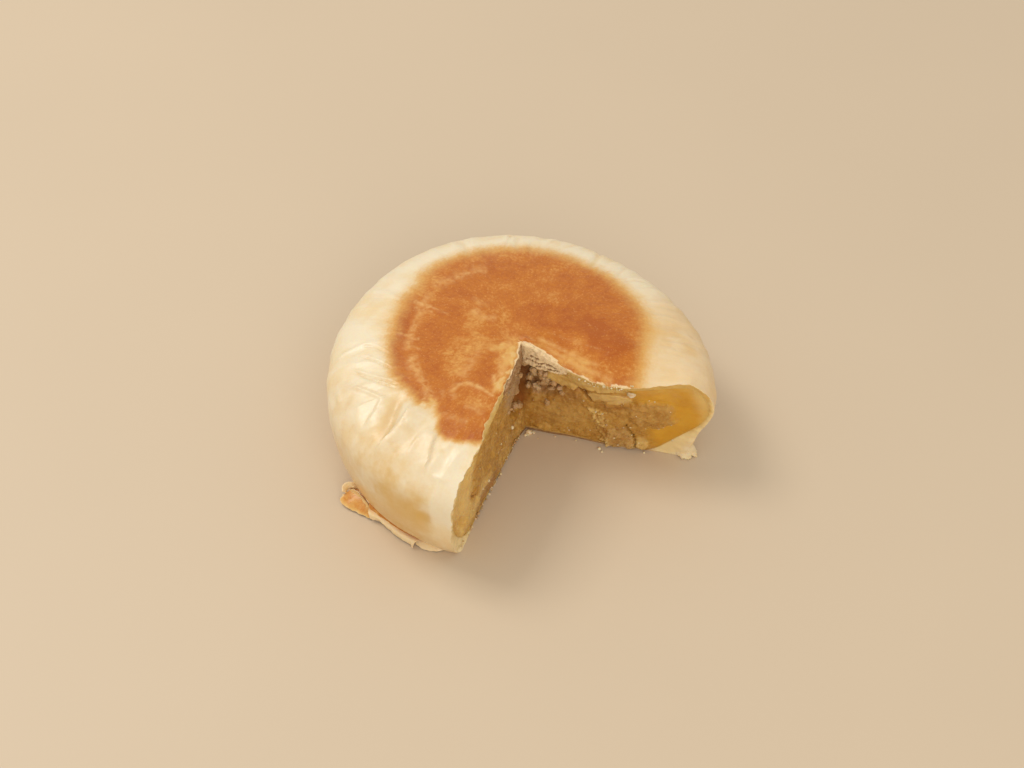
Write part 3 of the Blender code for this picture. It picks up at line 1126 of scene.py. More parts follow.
    patches: Rows = (  # darker or lighter places of it: x, y, half lengths, turn, heat
        (-11.4, 4.6, 2.4, 4.4, 24, -0.14), (-9.6, -2.6, 2.2, 5, -24, -0.16),
        (-9.4, -10.2, 1.7, 4.6, 6, -0.16), (-1.9, -3.8, 2.1, 4.4, 2, -0.2), (-0.7, -12, 1.2, 1.9, 4, -0.3),
        (-10.8, -21.4, 2.4, 2.6, 0, -0.2), (-4, -17.4, 3.8, 1.6, -12, -0.12), (7, 0, 7, 1.8, -6, -0.17),
        (13.6, -0.8, 5, 1.8, -10, -0.12), (-2, 6.5, 6, 2.2, 20, -0.08), (-6.5, -2.5, 2.2, 2.2, 0, -0.14),
        (-23.5, 15, 3.4, 7, 35, -0.06), (-15, 8.6, 3.4, 6, 24, 0.16), (-16.4, -2, 3.2, 6.4, 0, 0.14),
        (-4.7, -9.4, 1.5, 4.4, -4, 0.14), (-8.4, -15.4, 1.6, 3, 10, 0.08), (-5.6, -21.2, 4.6, 1.9, 14, 0.08),
        (15.6, 5.4, 5.6, 3.4, -24, 0.4), (5, 8, 9, 3.4, 4, 0.28), (-23.2, -9.6, 1.3, 5, 26, 0.26),
        (-23.6, 0.6, 1.3, 5.5, 0, 0.22), (-13.4, -13, 2.4, 4.4, 40, 0.1), (10, 16, 9, 5, -30, 0.12),
        (-8, 19, 8, 4, 12, 0.1), (-9.4, -19, 1.4, 2.4, 0, 0.14),
    )
    golden_patches: Rows = (  # angle, height, spans, strength
        (251, 11.5, 9, 4.6, 0.66), (256, 12.4, 5, 3.4, 0.66), (243, 14.4, 7.5, 3.8, 0.52),
        (247, 5.5, 16, 4.6, 0.72), (232, 6.2, 14, 4.4, 0.45), (234, 15, 7, 4, 0.26), (7, 18, 5, 3.2, 0.4),
        (36, 17, 9, 4, 0.55), (223, 13.5, 7, 4, 0.34), (24, 23.2, 9, 2.4, 0.75), (242, 20.5, 28, 7, 0.38),
        (213, 19.6, 7, 3, 0.34), (4, 11, 8, 4.5, 0.3), (200, 9, 14, 5, 0.26), (150, 8, 20, 5, 0.38),
        (95, 11, 14, 4.5, 0.45), (55, 9, 12, 4.5, 0.4), (30, 14, 7, 3.5, 0.34), (246, 18.5, 4, 1.8, 0.3),
    )
    torn_base: Pair = (218, 256)  # angles between which the loose skin has left the base orange

    def creases(self, at: Outside) -> Array:
        """The gathered radial creases.

        Args:
            at: the outer surface.

        Returns:
            Depth below the smooth skin; below 0 where a crease has a raised lip.
        """
        draw = random.Random(self.crease_seed)
        depth = np.zeros(at.radius.shape)
        off = at.radius - self.crease_radius
        for sector in self.sectors:
            where = sector.start
            while where < sector.end:
                half, deep, inner, outer, slant, bend = (draw.uniform(*span) for span in (
                    sector.half_width, sector.depth, sector.inner_radius, sector.outer_radius, sector.slant,
                    sector.bend))
                across = (np.radians(at.angle - where) * at.radius - slant * off - bend * off * off) / half
                ends = ease(inner, inner + 2.5, at.radius) * ease(outer + 0.6, outer - 1.6, at.radius)
                lip = np.exp(-((across - self.crease_lip_place) / self.crease_lip_width) ** 2)
                depth += deep * ends * (np.exp(-across ** 2) - self.crease_lip * lip)
                gap = sector.spacing * draw.uniform(*sector.spacing_spread)
                where += math.degrees(gap / self.crease_radius)
        return depth

    def facets(self, at: Outside) -> Array:
        """The broad flat facets between the gathers of the shoulder.

        Args:
            at: the outer surface.

        Returns:
            Depth below the smooth skin.
        """
        draw = random.Random(self.crease_seed + 1)
        depth = np.zeros(at.radius.shape)
        turned = at.angle + self.facet_slant * (at.radius - self.crease_radius)
        start = 0
        while start < LEFT_ANGLE:
            width, dip = draw.uniform(*self.facet_widths), draw.uniform(*self.facet_dip)
            share = (turned - start) / width
            depth += np.where((share > 0) & (share <= 1), dip * (1 - (2 * share - 1) ** 2), 0)
            start += width
        return depth * ease(*self.shoulder_from, at.radius) * ease(*self.facets_from, at.z)

    def relief(self, at: Outside) -> tuple[Array, Array]:
        """The skin's folds and lumps.

        Args:
            at: the outer surface.

        Returns:
            Height above the smooth surface, and how deep in a crease each point lies, 0 to 1.
        """
        upper = ease(*self.lumps_from, at.z)
        deep = self.creases(at) * ease(*self.creases_from, at.z)
        folded = sum(fold.relief(at.x, at.y) for fold in self.folds) * ease(*self.folds_from, at.z)
        for x, y, size, depth in self.dents:
            folded = folded - depth * np.exp(-((at.x - x) ** 2 + (at.y - y) ** 2) / size ** 2) * upper
        lumps = sum(at.noise(size, layers, seed) * lump for size, layers, seed, lump in self.lumps)
        rise = self.shoulder_rise * ease(*self.shoulder_from, at.radius)
        height = folded - deep - self.facets(at) + (rise + lumps) * upper
        return height, unit((np.maximum(deep, 0) - np.minimum(folded, 0)) / self.deep_crease)

    def browning(self, at: Outside) -> tuple[Array, Array]:
        """The browned top.

        Args:
            at: the outer surface.

        Returns:
            How fully each point is browned and how dark, both 0 to 1.
        """
        limit, blur, fringe = (read_table(self.brown_reach, at.angle, column) for column in (1, 2, 3))
        wander = at.plan_noise(4, 3, 31)
        fingers = noise(join(np.radians(at.angle) * 26, at.radius * 0.22, 0), 1.3, 3, 37)
        edge = limit + 0.8 * wander + fringe * fingers - at.radius
        cover = unit(0.5 + 0.5 * edge / blur) * ease(*self.brown_from, at.z)
        heat = 0.6 + 0.18 * ease(4.5, 1.5, edge) * ease(-0.5, 1.2, edge) * ease(165, 185, at.angle)
        heat += self.patch_heat(self.patches, at.x + 1.3 * wander, at.y - 1.3 * wander)
        frayed = at.plan_noise(1.3, 5, 41)
        worn = self.patch_heat(self.worn_patches, at.x + 0.9 * frayed, at.y - 0.9 * frayed)
        worn = worn * (1 + 1.6 * frayed)
        return cover * (1 - np.clip(worn, 0, 0.55)), np.clip(heat - 0.35 * worn, 0.1, 1)

    def patch_heat(self, patches: Rows, x: Array, y: Array) -> Array:
        """What soft oval patches add to the heat at each place."""
        return sum(heat * Spot((px, py), (across, along), turn, self.patch_edge).cover(x, y)
                   for px, py, across, along, turn, heat in patches)

    def base_browning(self, at: Outside) -> Array:
        """How fully each point of the underside is browned, 0 to 1."""
        wander = noise(at.points + 70, 6, 4, 47)
        reach = ease(*self.underside_reach, at.radius + wander * 4)
        return unit(reach * (0.85 + 0.3 * wander)) * (at.z < 0.5)

    def base_scar(self, at: Outside) -> Array:
        """The browned band low down, where the loose skin has come off.

        Args:
            at: the outer surface.

        Returns:
            How fully each point is browned, 0 to 1.
        """
        start, end = self.torn_base
        along = ease(start, start + 4, at.angle) * ease(end, end - 5, at.angle)
        return along * ease(*self.scar_height, at.z) * (at.z > 0.05)

    def streak_amount(self, at: Outside) -> Array:
        """The pale streaks of the browned top.

        Args:
            at: the outer surface.

        Returns:
            How strongly each point lies on a streak, 0 to 1.
        """
        amount = np.zeros(at.x.shape)
        rough, gaps = at.plan_noise(1.2, 5, 53), at.plan_noise(3.4, 3, 59)
        for line, half, strength in self.streaks:
            away, _, share = line_gap(at.x + 0.5 * gaps, at.y - 0.5 * gaps, line)
            ends = ease(0, 0.12, share) * ease(1, 0.88, share)
            width = half * (1 + 0.9 * gaps) * 1.9 + 0.15
            near = ease(width, 0, away + rough * (0.3 + half))
            amount = most(amount, strength * ends * near * np.clip(0.8 + 1.1 * rough, 0, 1.2))
        return unit(amount) * (at.z > self.streaks_above)

    def spread_amount(self, at: Outside, patches: Rows, seed: int) -> Array:
        """Soft patches of the side.

        Args:
            at: the outer surface.
            patches: each patch's angle, height, half spans and strength.
            seed: picks how the patches wander.

        Returns:
            The patches' joint share at each point, 0 to 1.
        """
        wander = at.noise(6, 3, seed)
        left = np.ones(at.z.shape)
        for where, height, width, depth, strength in patches:
            turn = (at.angle - where + 180) % 360 - 180
            spread = ((turn + 8 * wander) / width) ** 2 + ((at.z - height + 3.5 * wander) / depth) ** 2
            left *= 1 - strength * np.exp(-spread)
        return unit(1 - left + wander * 0.12)

    def tear(self, at: Outside) -> tuple[Array, Array]:
        """The torn lip beside the middle of the cake.

        Args:
            at: the outer surface.

        Returns:
            How far each point of the top is broken down, and how torn it looks, 0 to 1.
        """
        x, y = at.x, at.y
        rough = at.noise(1.6, 4, 71)
        widens, narrows = self.tear_wide
        wide = ease(*widens, x) * ease(*narrows, x)
        width, drop = (least + more * wide for least, more in (self.tear_widths, self.tear_drops))
        near = unit(1 - (at.from_right + rough * (0.45 + 0.25 * wide)) / width)
        near = near * (x > -0.6) * (x < self.tear_end) * (y > -4 + 3.4 * ease(2, 0.8, x))
        narrow = 0.7 * ease(-10, -2, y) + 0.05
        other = unit(1 - (at.from_left + rough * 0.6) / narrow)
        other = other * (y < -0.3) * (y > -self.left_tear_end) * (x < 2)
        breaks = ease(-0.35, 0.15, at.noise(2.4, 3, 73) + 0.5 * wide)
        looks = most(ease(0.05, 0.45, near) * breaks, 0.7 * ease(0.25, 0.9, other))
        top = ease(*self.top_from, at.z)
        return most(near * drop, self.left_tear_drop * other) * top, looks * top

    def ragged_shift(self, at: Outside) -> Array:
        """How far the skin beside each cut is pushed out of the cut or drawn back from it.

        Args:
            at: the outer surface.

        Returns:
            The shift of each point, as x, y, z.
        """
        x, y, z = at.x, at.y, at.z
        near_right = ease(1.4, 0, at.from_right) * ease(0.5, 2.5, x)
        near_left = ease(1.6, 0, at.from_left) * ease(-0.5, -2, y)
        fine, broad = at.noise(1.1, 4, 83), at.noise(4, 3, 89)
        foot = ease(6, 2, z) * ease(-27, -31, y)
        left = (0.4 + 0.5 * foot) * fine + 0.4 * broad + 0.15 * foot
        left += 1.2 * self.left_tooth.cover(y, z)
        left -= 0.5 * self.left_bite.cover(y, z) + 0.6 * ease(-26, -22, y) * ease(-7.5, -10.5, y)
        return join(left * near_left, -(0.26 * fine + 0.15 * broad) * near_right, 0)

    def edge_values(self, side: Side, points: Array, shares: Array) -> Values:
        """Point values of the cut through the skin.

        Args:
            side: which face.
            points: points of the cut.
            shares: their place from the outer surface, 0, to the inner one, 1.

        Returns:
            The values, by name.
        """
        away, z = side.away(points), points[..., 2]
        # a thin line along the base, darkened as a painted contact shadow over the skin's own thin
        # pinkish-brown edge
        low = ease(1.2, 0.6, z) * ease(29, 24, away)
        if side is Side.RIGHT:
            crust = 0.7 * ease(0.3, 0.05, shares) * ease(15, 17, z) * (away < 22)
            crust = crust * ease(-0.15, 0.25, noise(points, 1.4, 3, 95))
            torn = most(ease(8, 4.5, away) * ease(14, 17, z), crust, low)
            outer = ease(21, 26, away)
            section_and_shade = (0.3 + 0.7 * ease(0, 0.35, shares)) * (1 - outer)
            section_and_shade = section_and_shade + unit(0.16 + 0.75 * shares + 0.6 * ease(16.5, 19, z)) * outer
            section_and_shade = section_and_shade * (1 - 0.6 * ease(9, 5, z) * ease(23, 27, away))
        else:
            torn = most(ease(13, 9, away) * ease(14, 17, z), low)
            section_and_shade = most(0.2 + 0.55 * shares, (0.6 + 0.4 * shares) * ease(27, 23, away))
            section_and_shade = section_and_shade * (1 - 0.5 * ease(8, 4, z) * ease(27, 30, away))
        return {"section_and_shade": most(section_and_shade * (1 - low), 0.85 * low), "torn": torn}

    def lip_depth(self, points: Array) -> Array:
        """Extra thickness of the top skin beside the middle of the cake.

        Args:
            points: points of the inner surface.

        Returns:
            The thickness at each point.
        """
        x, y, z = np.moveaxis(points, -1, 0)
        right, left = self.shape.cut_distances(x, y)
        near_right = self.lip_right * ease(8, 3, x) * ease(4, 1, right) * (x > -1)
        near_left = self.lip_left * ease(-14, -8, y) * ease(4, 1, left) * (y < 1)
        return most(near_right, near_left) * ease(17, 21, z)

    def inner_surface(self, places: Array) -> Array:
        """The surface that lies on the filling.

        Args:
            places: the rows' places along the profile.

        Returns:
            Its points by row and column.
        """
        shape = self.shape
        inner = shape.profile(places, shape.radius - self.side_thickness, shape.foot_radius - self.foot_width,
                              self.base_thickness, shape.height - self.top_thickness)
        angles = np.linspace(0, THREE_QUARTERS, self.inner_columns + 1)[None, :]
        taper = shape.foot_taper(inner[:, 1:], np.degrees(angles))
        points = shape.wrap(inner[:, :1] * taper, inner[:, 1:], angles)
        points[..., 2] -= self.lip_depth(points)
        return points

    def point_values(self, at: Outside, height: Array, crease: Array, torn: Array) -> Values:
        """Point values of the outer surface.

        Args:
            at: the outer surface.
            height: its folds' height.
            crease: how deep in a crease each point lies.
            torn: how torn each point looks.

        Returns:
            The values, by name.
        """
        cover, heat = self.browning(at)
        underside, scar = self.base_browning(at), self.base_scar(at)
        golden = self.spread_amount(at, self.golden_patches, 61) * (1 - 0.6 * ease(259, 266, at.angle))
        return {
            "browned": most(cover, underside, scar),
            "toast": np.where(underside > 0, 0.45, np.where(scar > 0, 0.75, heat)),
            "golden": most(golden, 0.4 * ease(16, 3, at.z)) * (at.z > 0.05),
            # painted highlight and shade from the folds' height: higher reads lighter, lower darker
            "raised": unit(0.5 + height * 1.6) * ease(9, 14, at.z),
            # warm patches, and painted shade in the creases by how deep each point lies in one
            "warm_and_crease_shade": most(self.spread_amount(at, self.warm_patches, 67), 0.7 * crease),
            "streak": self.streak_amount(at) * cover,
            "torn": torn,
            "cover": cover,
        }

    def build(self, finish: SkinFinish) -> Object:
        """Builds and dresses the skin.

        Args:
            finish: the pastry's finish.

        Returns:
            The skin as one closed shell.
        """
        places = self.shape.spread_places(self.base_step, self.row_steps)
        at = Outside(self.shape, places, self.columns)
        height, crease = self.relief(at)
        drop, torn = self.tear(at)
        values = self.point_values(at, height, crease, torn)
        blister = (0.55 - cells(at.points, 1, 3)) * self.blister_height * values["cover"]
        middle = ease(0, 1.2, at.from_middle)
        height = (height + blister + self.streak_height * values["streak"]) * middle * (at.before_droop > 0)
        outer = at.points + grid_normals(at.points) * height[..., None]
        outer[..., 2] -= drop * middle
        outer += self.ragged_shift(at) * middle[..., None]
        inner = self.inner_surface(places)
        draft = MeshDraft(SKIN_VALUES)
        outside, inside = draft.add_points(outer, values), draft.add_points(inner, {"section_and_shade": 1})
        draft.add_sheet(outside)
        draft.add_sheet(inside, flip=True)
        for side, column in ((Side.RIGHT, 0), (Side.LEFT, -1)):
            rims, numbers = (outer[:, column], inner[:, column]), (outside[:, column], inside[:, column])
            self.add_edge(draft, side, rims, numbers)
        return draft.finish("pastry_skin_dressed", 50, finish.material())

    def add_edge(self, draft: MeshDraft, side: Side, rims: tuple[Array, Array],
                 numbers: tuple[Array, Array]) -> None:
        """Adds the cut through the skin, with its layers.

        Args:
            draft: the skin's mesh.
            side: which face.
            rims: the last points along the cut of the outer and of the inner surface.
            numbers: their numbers.
        """
        outer, inner = (rim[:, None, :] for rim in rims)
        shares = np.linspace(0, 1, self.edge_rows + 1)[None, 1:-1]
        between = outer * (1 - shares[..., None]) + inner * shares[..., None]
        away = np.hypot(between[..., 0], between[..., 1])
        layer = 0.1 * np.sin(shares * 21 + noise(between, 3, 2, 97) * 5)
        rough = noise(between, 1.3, 4, 85) * 0.26 + layer * ease(20, 8, away)
        if side is Side.RIGHT:
            flaky = ease(8, 5, away) * ease(14, 17, between[..., 2])
            rough -= self.flake_gap * flaky * np.sin(shares * math.pi) ** 0.5
        between += side.place(0, 0, rough * ease(0, 1.5, away), 0)
        middle = draft.add_points(between, self.edge_values(side, between, shares))
        draft.add_sheet(np.concatenate([numbers[0][:, None], middle, numbers[1][:, None]], axis=1),
                        flip=side is Side.RIGHT)


# ---- the filling


def paste_values(amber: Array, yellow: Array, dull: Array, stain_and_shade: Array) -> Values:
    """The paste's point values by name, held within their ranges."""
    return dict(zip(PASTE_VALUES, (amber, unit(yellow), unit(dull), np.clip(stain_and_shade, 0, 0.9))))


@dataclass
class BeanFilling:
    """The bean paste: two crumbled cut faces joined by a plain round back that the skin hides.

    The lines and the spots of the right face are places on that face.
    """

    shape: CakeShape
    side_gap: float = 0.9
    foot_gap: float = 4.9
    base: float = 0.5
    top_gap: float = 0.95
    face_columns: int = 210
    face_rows: int = 130
    back_columns: int = 44
    lid_rings: int = 14
    recess: float = 0.2
    rim_width: float = 0.6
    rim_relief: float = 0.25  # share of the relief that is left at the rim
    corner_width: float = 1.5
    boss: Spot = Spot((26, 11.6), (4.3, 4.3), 0, 0.3)  # on the right face, as for the next eight
    pocket: Spot = Spot((3.2, 15.4), (4.6, 4.2), -12, 0.5)
    lens: Spot = Spot((17.3, 15.1), (4.6, 1.9), 9, 0.12)
    below_lens: Spot = Spot((18.6, 12.7), (3.4, 0.9), 4, 0.9)
    grit: Spot = Spot((19.6, 14.6), (2.6, 0.8), 4, 0.6)
    low_chunk: Spot = Spot((23.9, 2.4), (1.5, 1.6), -20, 0.4)
    upper_flake: Spot = Spot((15.4, 8), (1.9, 3.2), 14, 0.5)
    lower_flake: Spot = Spot((16.4, 2.4), (0.8, 2.6), 22, 0.4)
    smear: Spot = Spot((8, 7), (6.5, 3.6), 10, 1.2)
    hollow: Spot = Spot((2.6, 12.6), (4.4, 3.8), 0, 0.6)  # on the left face, as for the next three
    dark_foot: Spot = Spot((18, 1.8), (5.5, 1.4))
    dull_foot: Spot = Spot((17.5, 2.4), (6.5, 1.8))
    yellow_foot: Spot = Spot((23, 5), (5, 3))
    clod_height: float = 0.42
    ledge_height: float = 0.28
    slab_height: float = 0.34
    lens_height: float = 0.4
    chunk_height: float = 0.42
    flake_height: float = 0.35
    pocket_depth: float = 1.5
    hollow_depth: float = 1.3
    crevice_depth: float = 1.7
    crack_depth: float = 0.9
    fissure_depth: float = 0.7
    right_lip_depth: float = 1.2
    left_lip_depth: float = 1
    slab_line: Plan = ((4.8, 16.9), (6.1, 15.8), (8.3, 14.9), (11.3, 15.9), (14.8, 16.9), (18.2, 17.7),
                       (20.5, 17.8),
                       (23, 19.4))
    crevice: Plan = ((11.7, 16.2), (12.8, 14.9), (14.2, 12.9))
    crack: Plan = ((20.9, 7.4), (21.4, 6.2), (22.1, 4.9), (22.5, 3.2), (22.8, 0.8))
    fissure: Plan = ((26, 13), (27.4, 10.8), (27.2, 9.2), (25, 8))
    chunk_top: Plan = ((16.7, -1), (17.2, 5.4), (19.2, 6.4), (21.2, 6.6), (22.2, 3), (22.8, -1))

    def outline_rows(self) -> Array:
        """The filling's side.

        Returns:
            Radius and height of each row, from the base to where the hidden flat top starts.
        """
        fine = np.concatenate([np.linspace(1, 2, 600), np.linspace(2, 2.93, 1400)[1:]])
        shape = self.shape
        line = shape.profile(fine, shape.radius - self.side_gap, shape.foot_radius - self.foot_gap, self.base,
                             shape.height - self.top_gap)
        return even_line(line, self.face_rows + 1)

    def grains(self, flat: Array, seed: int) -> Array:
        """The paste's fine grain, as a height."""
        return (0.62 - cells(flat, 1, seed)) * 0.11 + (0.6 - cells(flat, 0.5, seed + 1)) * 0.07

    def right_relief(self, x: Array, z: Array) -> tuple[Array, Values]:
        """The right face's clumps, ledges and cracks.

        Args:
            x: distance from the axis along the face.
            z: height.

        Returns:
            How far each point stands out of the face, and the point values for the finish.
        """
        flat = join(x, 0, z)
        rough, coarse, sharp = noise(flat, 1.9, 4, 101), noise(flat, 5, 3, 103), noise(flat, 0.7, 3, 105)
        lumps = cells(flat, 1.5, 111)
        wx, wz = x + rough * 0.9, z + coarse * 0.9
        boss = self.boss.cover(wx, wz)
        bare = 1 - 0.92 * boss
        amber = most(ease(22.8, 26.5, wx + 0.25 * (z - 8)) * bare, ease(28.6, 31.4, wx + 0.5 * rough),
                     ease(20.5, 24, x) * ease(14.5, 17, z) * bare)
        over = z - read_table(self.slab_line, x) + rough * 0.6 + sharp * 0.25
        slab = ease(-0.1, 0.25, over) * ease(3.6, 5.6, x + rough) * ease(23.5, 19, x)
        under_slab = ease(1.3, 0.1, -over) * (1 - slab) * ease(5.5, 7.5, x) * ease(15, 12, x)
        pocket = self.pocket.cover(wx, wz) * (1 - slab)
        crevice = ease(0.7, 0.12, line_gap(x + rough * 0.25, z, self.crevice)[0])
        crack = ease(0.2, 0.04, line_gap(x + rough * 0.4, z + rough * 0.3, self.crack)[0])
        lens = self.lens.cover(x + rough * 0.35, z + rough * 0.3)
        lens = lens * ease(12.9, 15.4, z - 0.12 * (x - 17) + rough * 0.4)
        below_lens, grit = self.below_lens.cover(wx, wz), self.grit.cover(wx, wz)
        chunk = ease(-0.25, 0.35, read_table(self.chunk_top, x + sharp * 0.3) - z + rough * 0.7 + sharp * 0.4)
        low_chunk = self.low_chunk.cover(wx + sharp * 0.4, wz)
        flakes = most(self.upper_flake.cover(wx + rough + sharp * 0.5, wz),
                      self.lower_flake.cover(wx + rough * 0.7 + sharp * 0.4, wz))
        flakes = flakes * unit(0.55 + 1.1 * sharp + 0.4 * rough)
        ledge = ease(16.5, 17.3, x + rough * 0.9 + sharp * 0.3) * ease(14.6, 13.2, z)
        smear = self.smear.cover(wx, wz)
        grainy = np.clip(1 - 0.92 * amber - 0.7 * lens - 0.45 * slab - 0.4 * smear, 0.1, 1.4)
        clods = (0.62 - cells(flat * (1, 1, 1.1) + rough[..., None] * 0.5, 2.1, 117)) * self.clod_height

        out = (rough * 0.28 + sharp * 0.2 + self.grains(flat, 107) + clods) * grainy + coarse * 0.32
        out += (0.5 + 0.25 * rough) * boss + self.ledge_height * ledge - 0.15 * amber
        out += self.slab_height * slab + self.lens_height * lens + self.flake_height * (low_chunk + flakes)
        out += (self.chunk_height * ease(7.5, 1.5, z) + 0.25 * sharp) * chunk
        out += 0.5 * (0.5 - lumps) * pocket + 0.22 * noise(flat * (0.3, 1, 1), 0.8, 3, 115) * slab
        out -= self.pocket_depth * pocket + self.crevice_depth * crevice * (1 - 0.6 * slab)
        out -= self.crack_depth * crack + 0.35 * under_slab + 0.22 * below_lens
        lip = ease(9.4, 7.8, x) * ease(18.9 - 0.15 * np.clip(x, 0, 6), 19.6, z)
        out = out * (1 - lip) - self.right_lip_depth * lip

        streaky = 0.75 + 0.5 * noise(flat * (0.25, 1, 1), 0.9, 3, 113)
        yellow = 0.95 * flakes + 0.85 * slab * (1 - amber) * streaky + 0.72 * lens + 0.6 * low_chunk
        yellow += 0.3 * chunk + 0.34 * smear + 0.35 * grit + 0.36 * amber * ease(12, 20, z)
        yellow += 0.6 * ease(32.3, 36.2, x + 0.12 * (z - 14)) * ease(5, 12, z)
        dull = 0.28 * boss + 0.38 * chunk + 0.26 * lens + 0.35 * pocket + 0.15 * low_chunk
        dull += 0.3 * ease(16, 9, x) * ease(7, 12, z) * (1 - slab)
        # painted shade in the inner corner, the crevice, the crack, between the pocket's lumps, under the slab
        # and the lens and beside the chunk; darker paste towards the top left
        stain_and_shade = most(0.8 * ease(1.7, 0.4, x + rough * 0.6) * ease(5, 9, z), 0.85 * crevice, 0.8 * crack,
                     pocket * (0.16 + 0.4 * ease(0.45, 0.85, lumps)), 0.45 * under_slab, 0.3 * below_lens,
                     0.3 * ease(0.6, 0, np.abs(x - 16.8 + rough * 0.9)) * (z < 12) * (z > 3),
                     0.2 * ease(16, 9, x) * ease(8, 13, z) * (1 - slab))
        return out, paste_values(amber, yellow, dull, stain_and_shade)

    def left_relief(self, away: Array, z: Array) -> tuple[Array, Values]:
        """The left face's clumps and fissures.

        Args:
            away: distance from the axis along the face.
            z: height.

        Returns:
            How far each point stands out of the face, and the point values for the finish.
        """
        flat = join(0, away, z)
        rough, coarse, sharp = noise(flat, 1.9, 4, 121), noise(flat, 5, 3, 127), noise(flat, 0.7, 3, 129)
        wa, wz = away + rough * 0.9, z + coarse
        amber = 0.55 * ease(24.5, 29, wa)
        upper = ease(13.8, 16.2, z + rough) * ease(13, 9.8, away + rough * 0.8)
        hollow = self.hollow.cover(wa, wz) * (1 - upper)
        fissure = ease(0.45, 0.1, line_gap(away + rough * 0.5 + sharp * 0.2, z, self.fissure)[0])
        clods = (0.62 - cells(flat + rough[..., None] * 0.5, 1.9, 133)) * self.clod_height

        out = rough * 0.3 + sharp * 0.18 + clods + self.grains(flat, 131)
        out = out * (1 - 0.6 * amber) + coarse * 0.45
        out += 0.45 * upper * ease(0.8, 2.4, away) - 0.5 * ease(29, 32, wa) * ease(3, 6, z)
        out -= self.hollow_depth * hollow + self.fissure_depth * fissure
        lip = ease(12, 9, away) * ease(21, 21.8, z)
        out = out * (1 - lip) - self.left_lip_depth * lip

        # painted shade in the inner corner, the fissure and the hollow; a darker patch at the foot
        stain_and_shade = most(0.85 * ease(1.7, 0.4, away + rough * 0.7) * ease(5, 8, z), 0.65 * fissure,
                     0.8 * hollow * unit(0.9 - 0.5 * rough), 0.42 * self.dark_foot.cover(wa, wz))
        dull = 0.8 * upper + 0.35 * ease(16, 21, z) * ease(24, 12, away)
        dull += 0.45 * self.dull_foot.cover(wa, wz)
        yellow = 0.74 * ease(25.5, 29.5, wa) * (0.35 + 0.65 * ease(5, 10, z - 0.5 * (wa - 30)))
        yellow += 0.38 * self.yellow_foot.cover(wa, wz) + 0.34 * ease(12, 3, z)
        yellow += 0.6 * unit(sharp + 0.5 * rough - 0.1)
        return out, paste_values(amber, yellow, dull, stain_and_shade)

    def relief(self, side: Side, away: Array, z: Array) -> tuple[Array, Values]:
        """The relief and the point values of either face."""
        return self.right_relief(away, z) if side is Side.RIGHT else self.left_relief(away, z)

    def face(self, side: Side, rows: Array) -> tuple[Array, Values]:
        """One cut face.

        Args:
            side: which face.
            rows: radius and height of the filling's side.

        Returns:
            Points by row and column, from the axis outwards, and their values.
        """
        angle = np.full((1, 1), 0.0 if side is Side.RIGHT else THREE_QUARTERS)
        shares = np.linspace(0, 1, self.face_columns + 1)[None, :]
        radii = rows[:, :1] * self.shape.foot_taper(rows[:, 1:], np.degrees(angle)) * shares
        points = self.shape.wrap(radii, rows[:, 1:], angle)
        relief, values = self.relief(side, side.away(points), points[..., 2])
        rim = ease(0, self.rim_width, radii[:, -1:] - radii) * (1 - self.rim_relief) + self.rim_relief
        corner = ease(0, self.corner_width, radii)
        flush = self.recess * (1 - 0.9 * ease(20, 24, radii))
        back = self.corner_recess(points[..., 2]) * (1 - corner) + (flush - relief * rim) * corner
        points += side.place(-back * (1 - corner), 0, -back, 0)
        return points, values

    def corner_recess(self, z: Array) -> Array:
        """How far the corner between the two faces stands back, the same for both."""
        hollow = 1.9 * ease(8, 12, z) * ease(24, 21, z)
        return self.recess + noise(join(0, 0, z), 2, 3, 139) * 0.35 + hollow

    def build(self, finish: PasteFinish) -> Object:
        """Builds and dresses the filling.

        Args:
            finish: the paste's finish.

        Returns:
            The filling as one closed body.
        """
        draft = MeshDraft(PASTE_VALUES)
        rows = self.outline_rows()
        right, left = (draft.add_points(*self.face(side, rows)) for side in (Side.RIGHT, Side.LEFT))
        draft.add_sheet(right, flip=True)
        draft.add_sheet(left)
        angles = np.linspace(0, THREE_QUARTERS, self.back_columns + 1)[None, 1:-1]
        taper = self.shape.foot_taper(rows[:, 1:], np.degrees(angles))
        middle = draft.add_points(self.shape.wrap(rows[:, :1] * taper, rows[:, 1:], angles))
        back = np.concatenate([right[:, -1:], middle, left[:, -1:]], axis=1)
        draft.add_sheet(back)
        self.add_lid(draft, right[0], left[0], back[0], down=True)
        self.add_lid(draft, right[-1], left[-1], back[-1], down=False)
        return draft.finish("mung_bean_filling_dressed", 60, finish.material())

    def add_lid(self, draft: MeshDraft, right: Array, left: Array, rim: Array, down: bool) -> None:
        """Closes the base or the top with rings from the corner to the rim.

        Args:
            draft: the filling's mesh.
            right: numbers of the right face's last row, from the corner outwards.
            left: the same for the left face.
            rim: numbers of the round back's last row, from the right face to the left one.
            down: whether the lid is the base.
        """
        points = np.concatenate(draft.points)
        picks = np.linspace(0, len(right) - 1, self.lid_rings + 1).round().astype(int)
        blend = np.linspace(0, 1, len(rim))[1:-1]
        rings = [np.full(len(rim), right[0])]
        for pick in picks[1:-1]:
            share = pick / (len(right) - 1)
            plan = points[rim[1:-1], :2] * share + points[right[0], :2] * (1 - share)
            level = points[right[pick], 2] * (1 - blend) + points[left[pick], 2] * blend
            numbers = draft.add_points(np.column_stack([plan, level]))
            rings.append(np.concatenate([[right[pick]], numbers, [left[pick]]]))
        grid = np.stack([*rings, rim])
        draft.add_sheet(grid[:, 1:-1], flip=not down)
        for face, column, flip in ((right, 1, down), (left, -2, not down)):
            for index in range(self.lid_rings):
                strip = face[picks[index]:picks[index + 1] + 1]
                near, far = grid[index:index + 2, column]
                half = len(strip) // 2
                fan = [(*pair, near if k < half else far) for k, pair in enumerate(zip(strip, strip[1:]))]
                faces = np.array([*fan, (strip[half], far, near)])
                draft.triangles.append(faces if flip else faces[:, ::-1])


# ---- loose bits


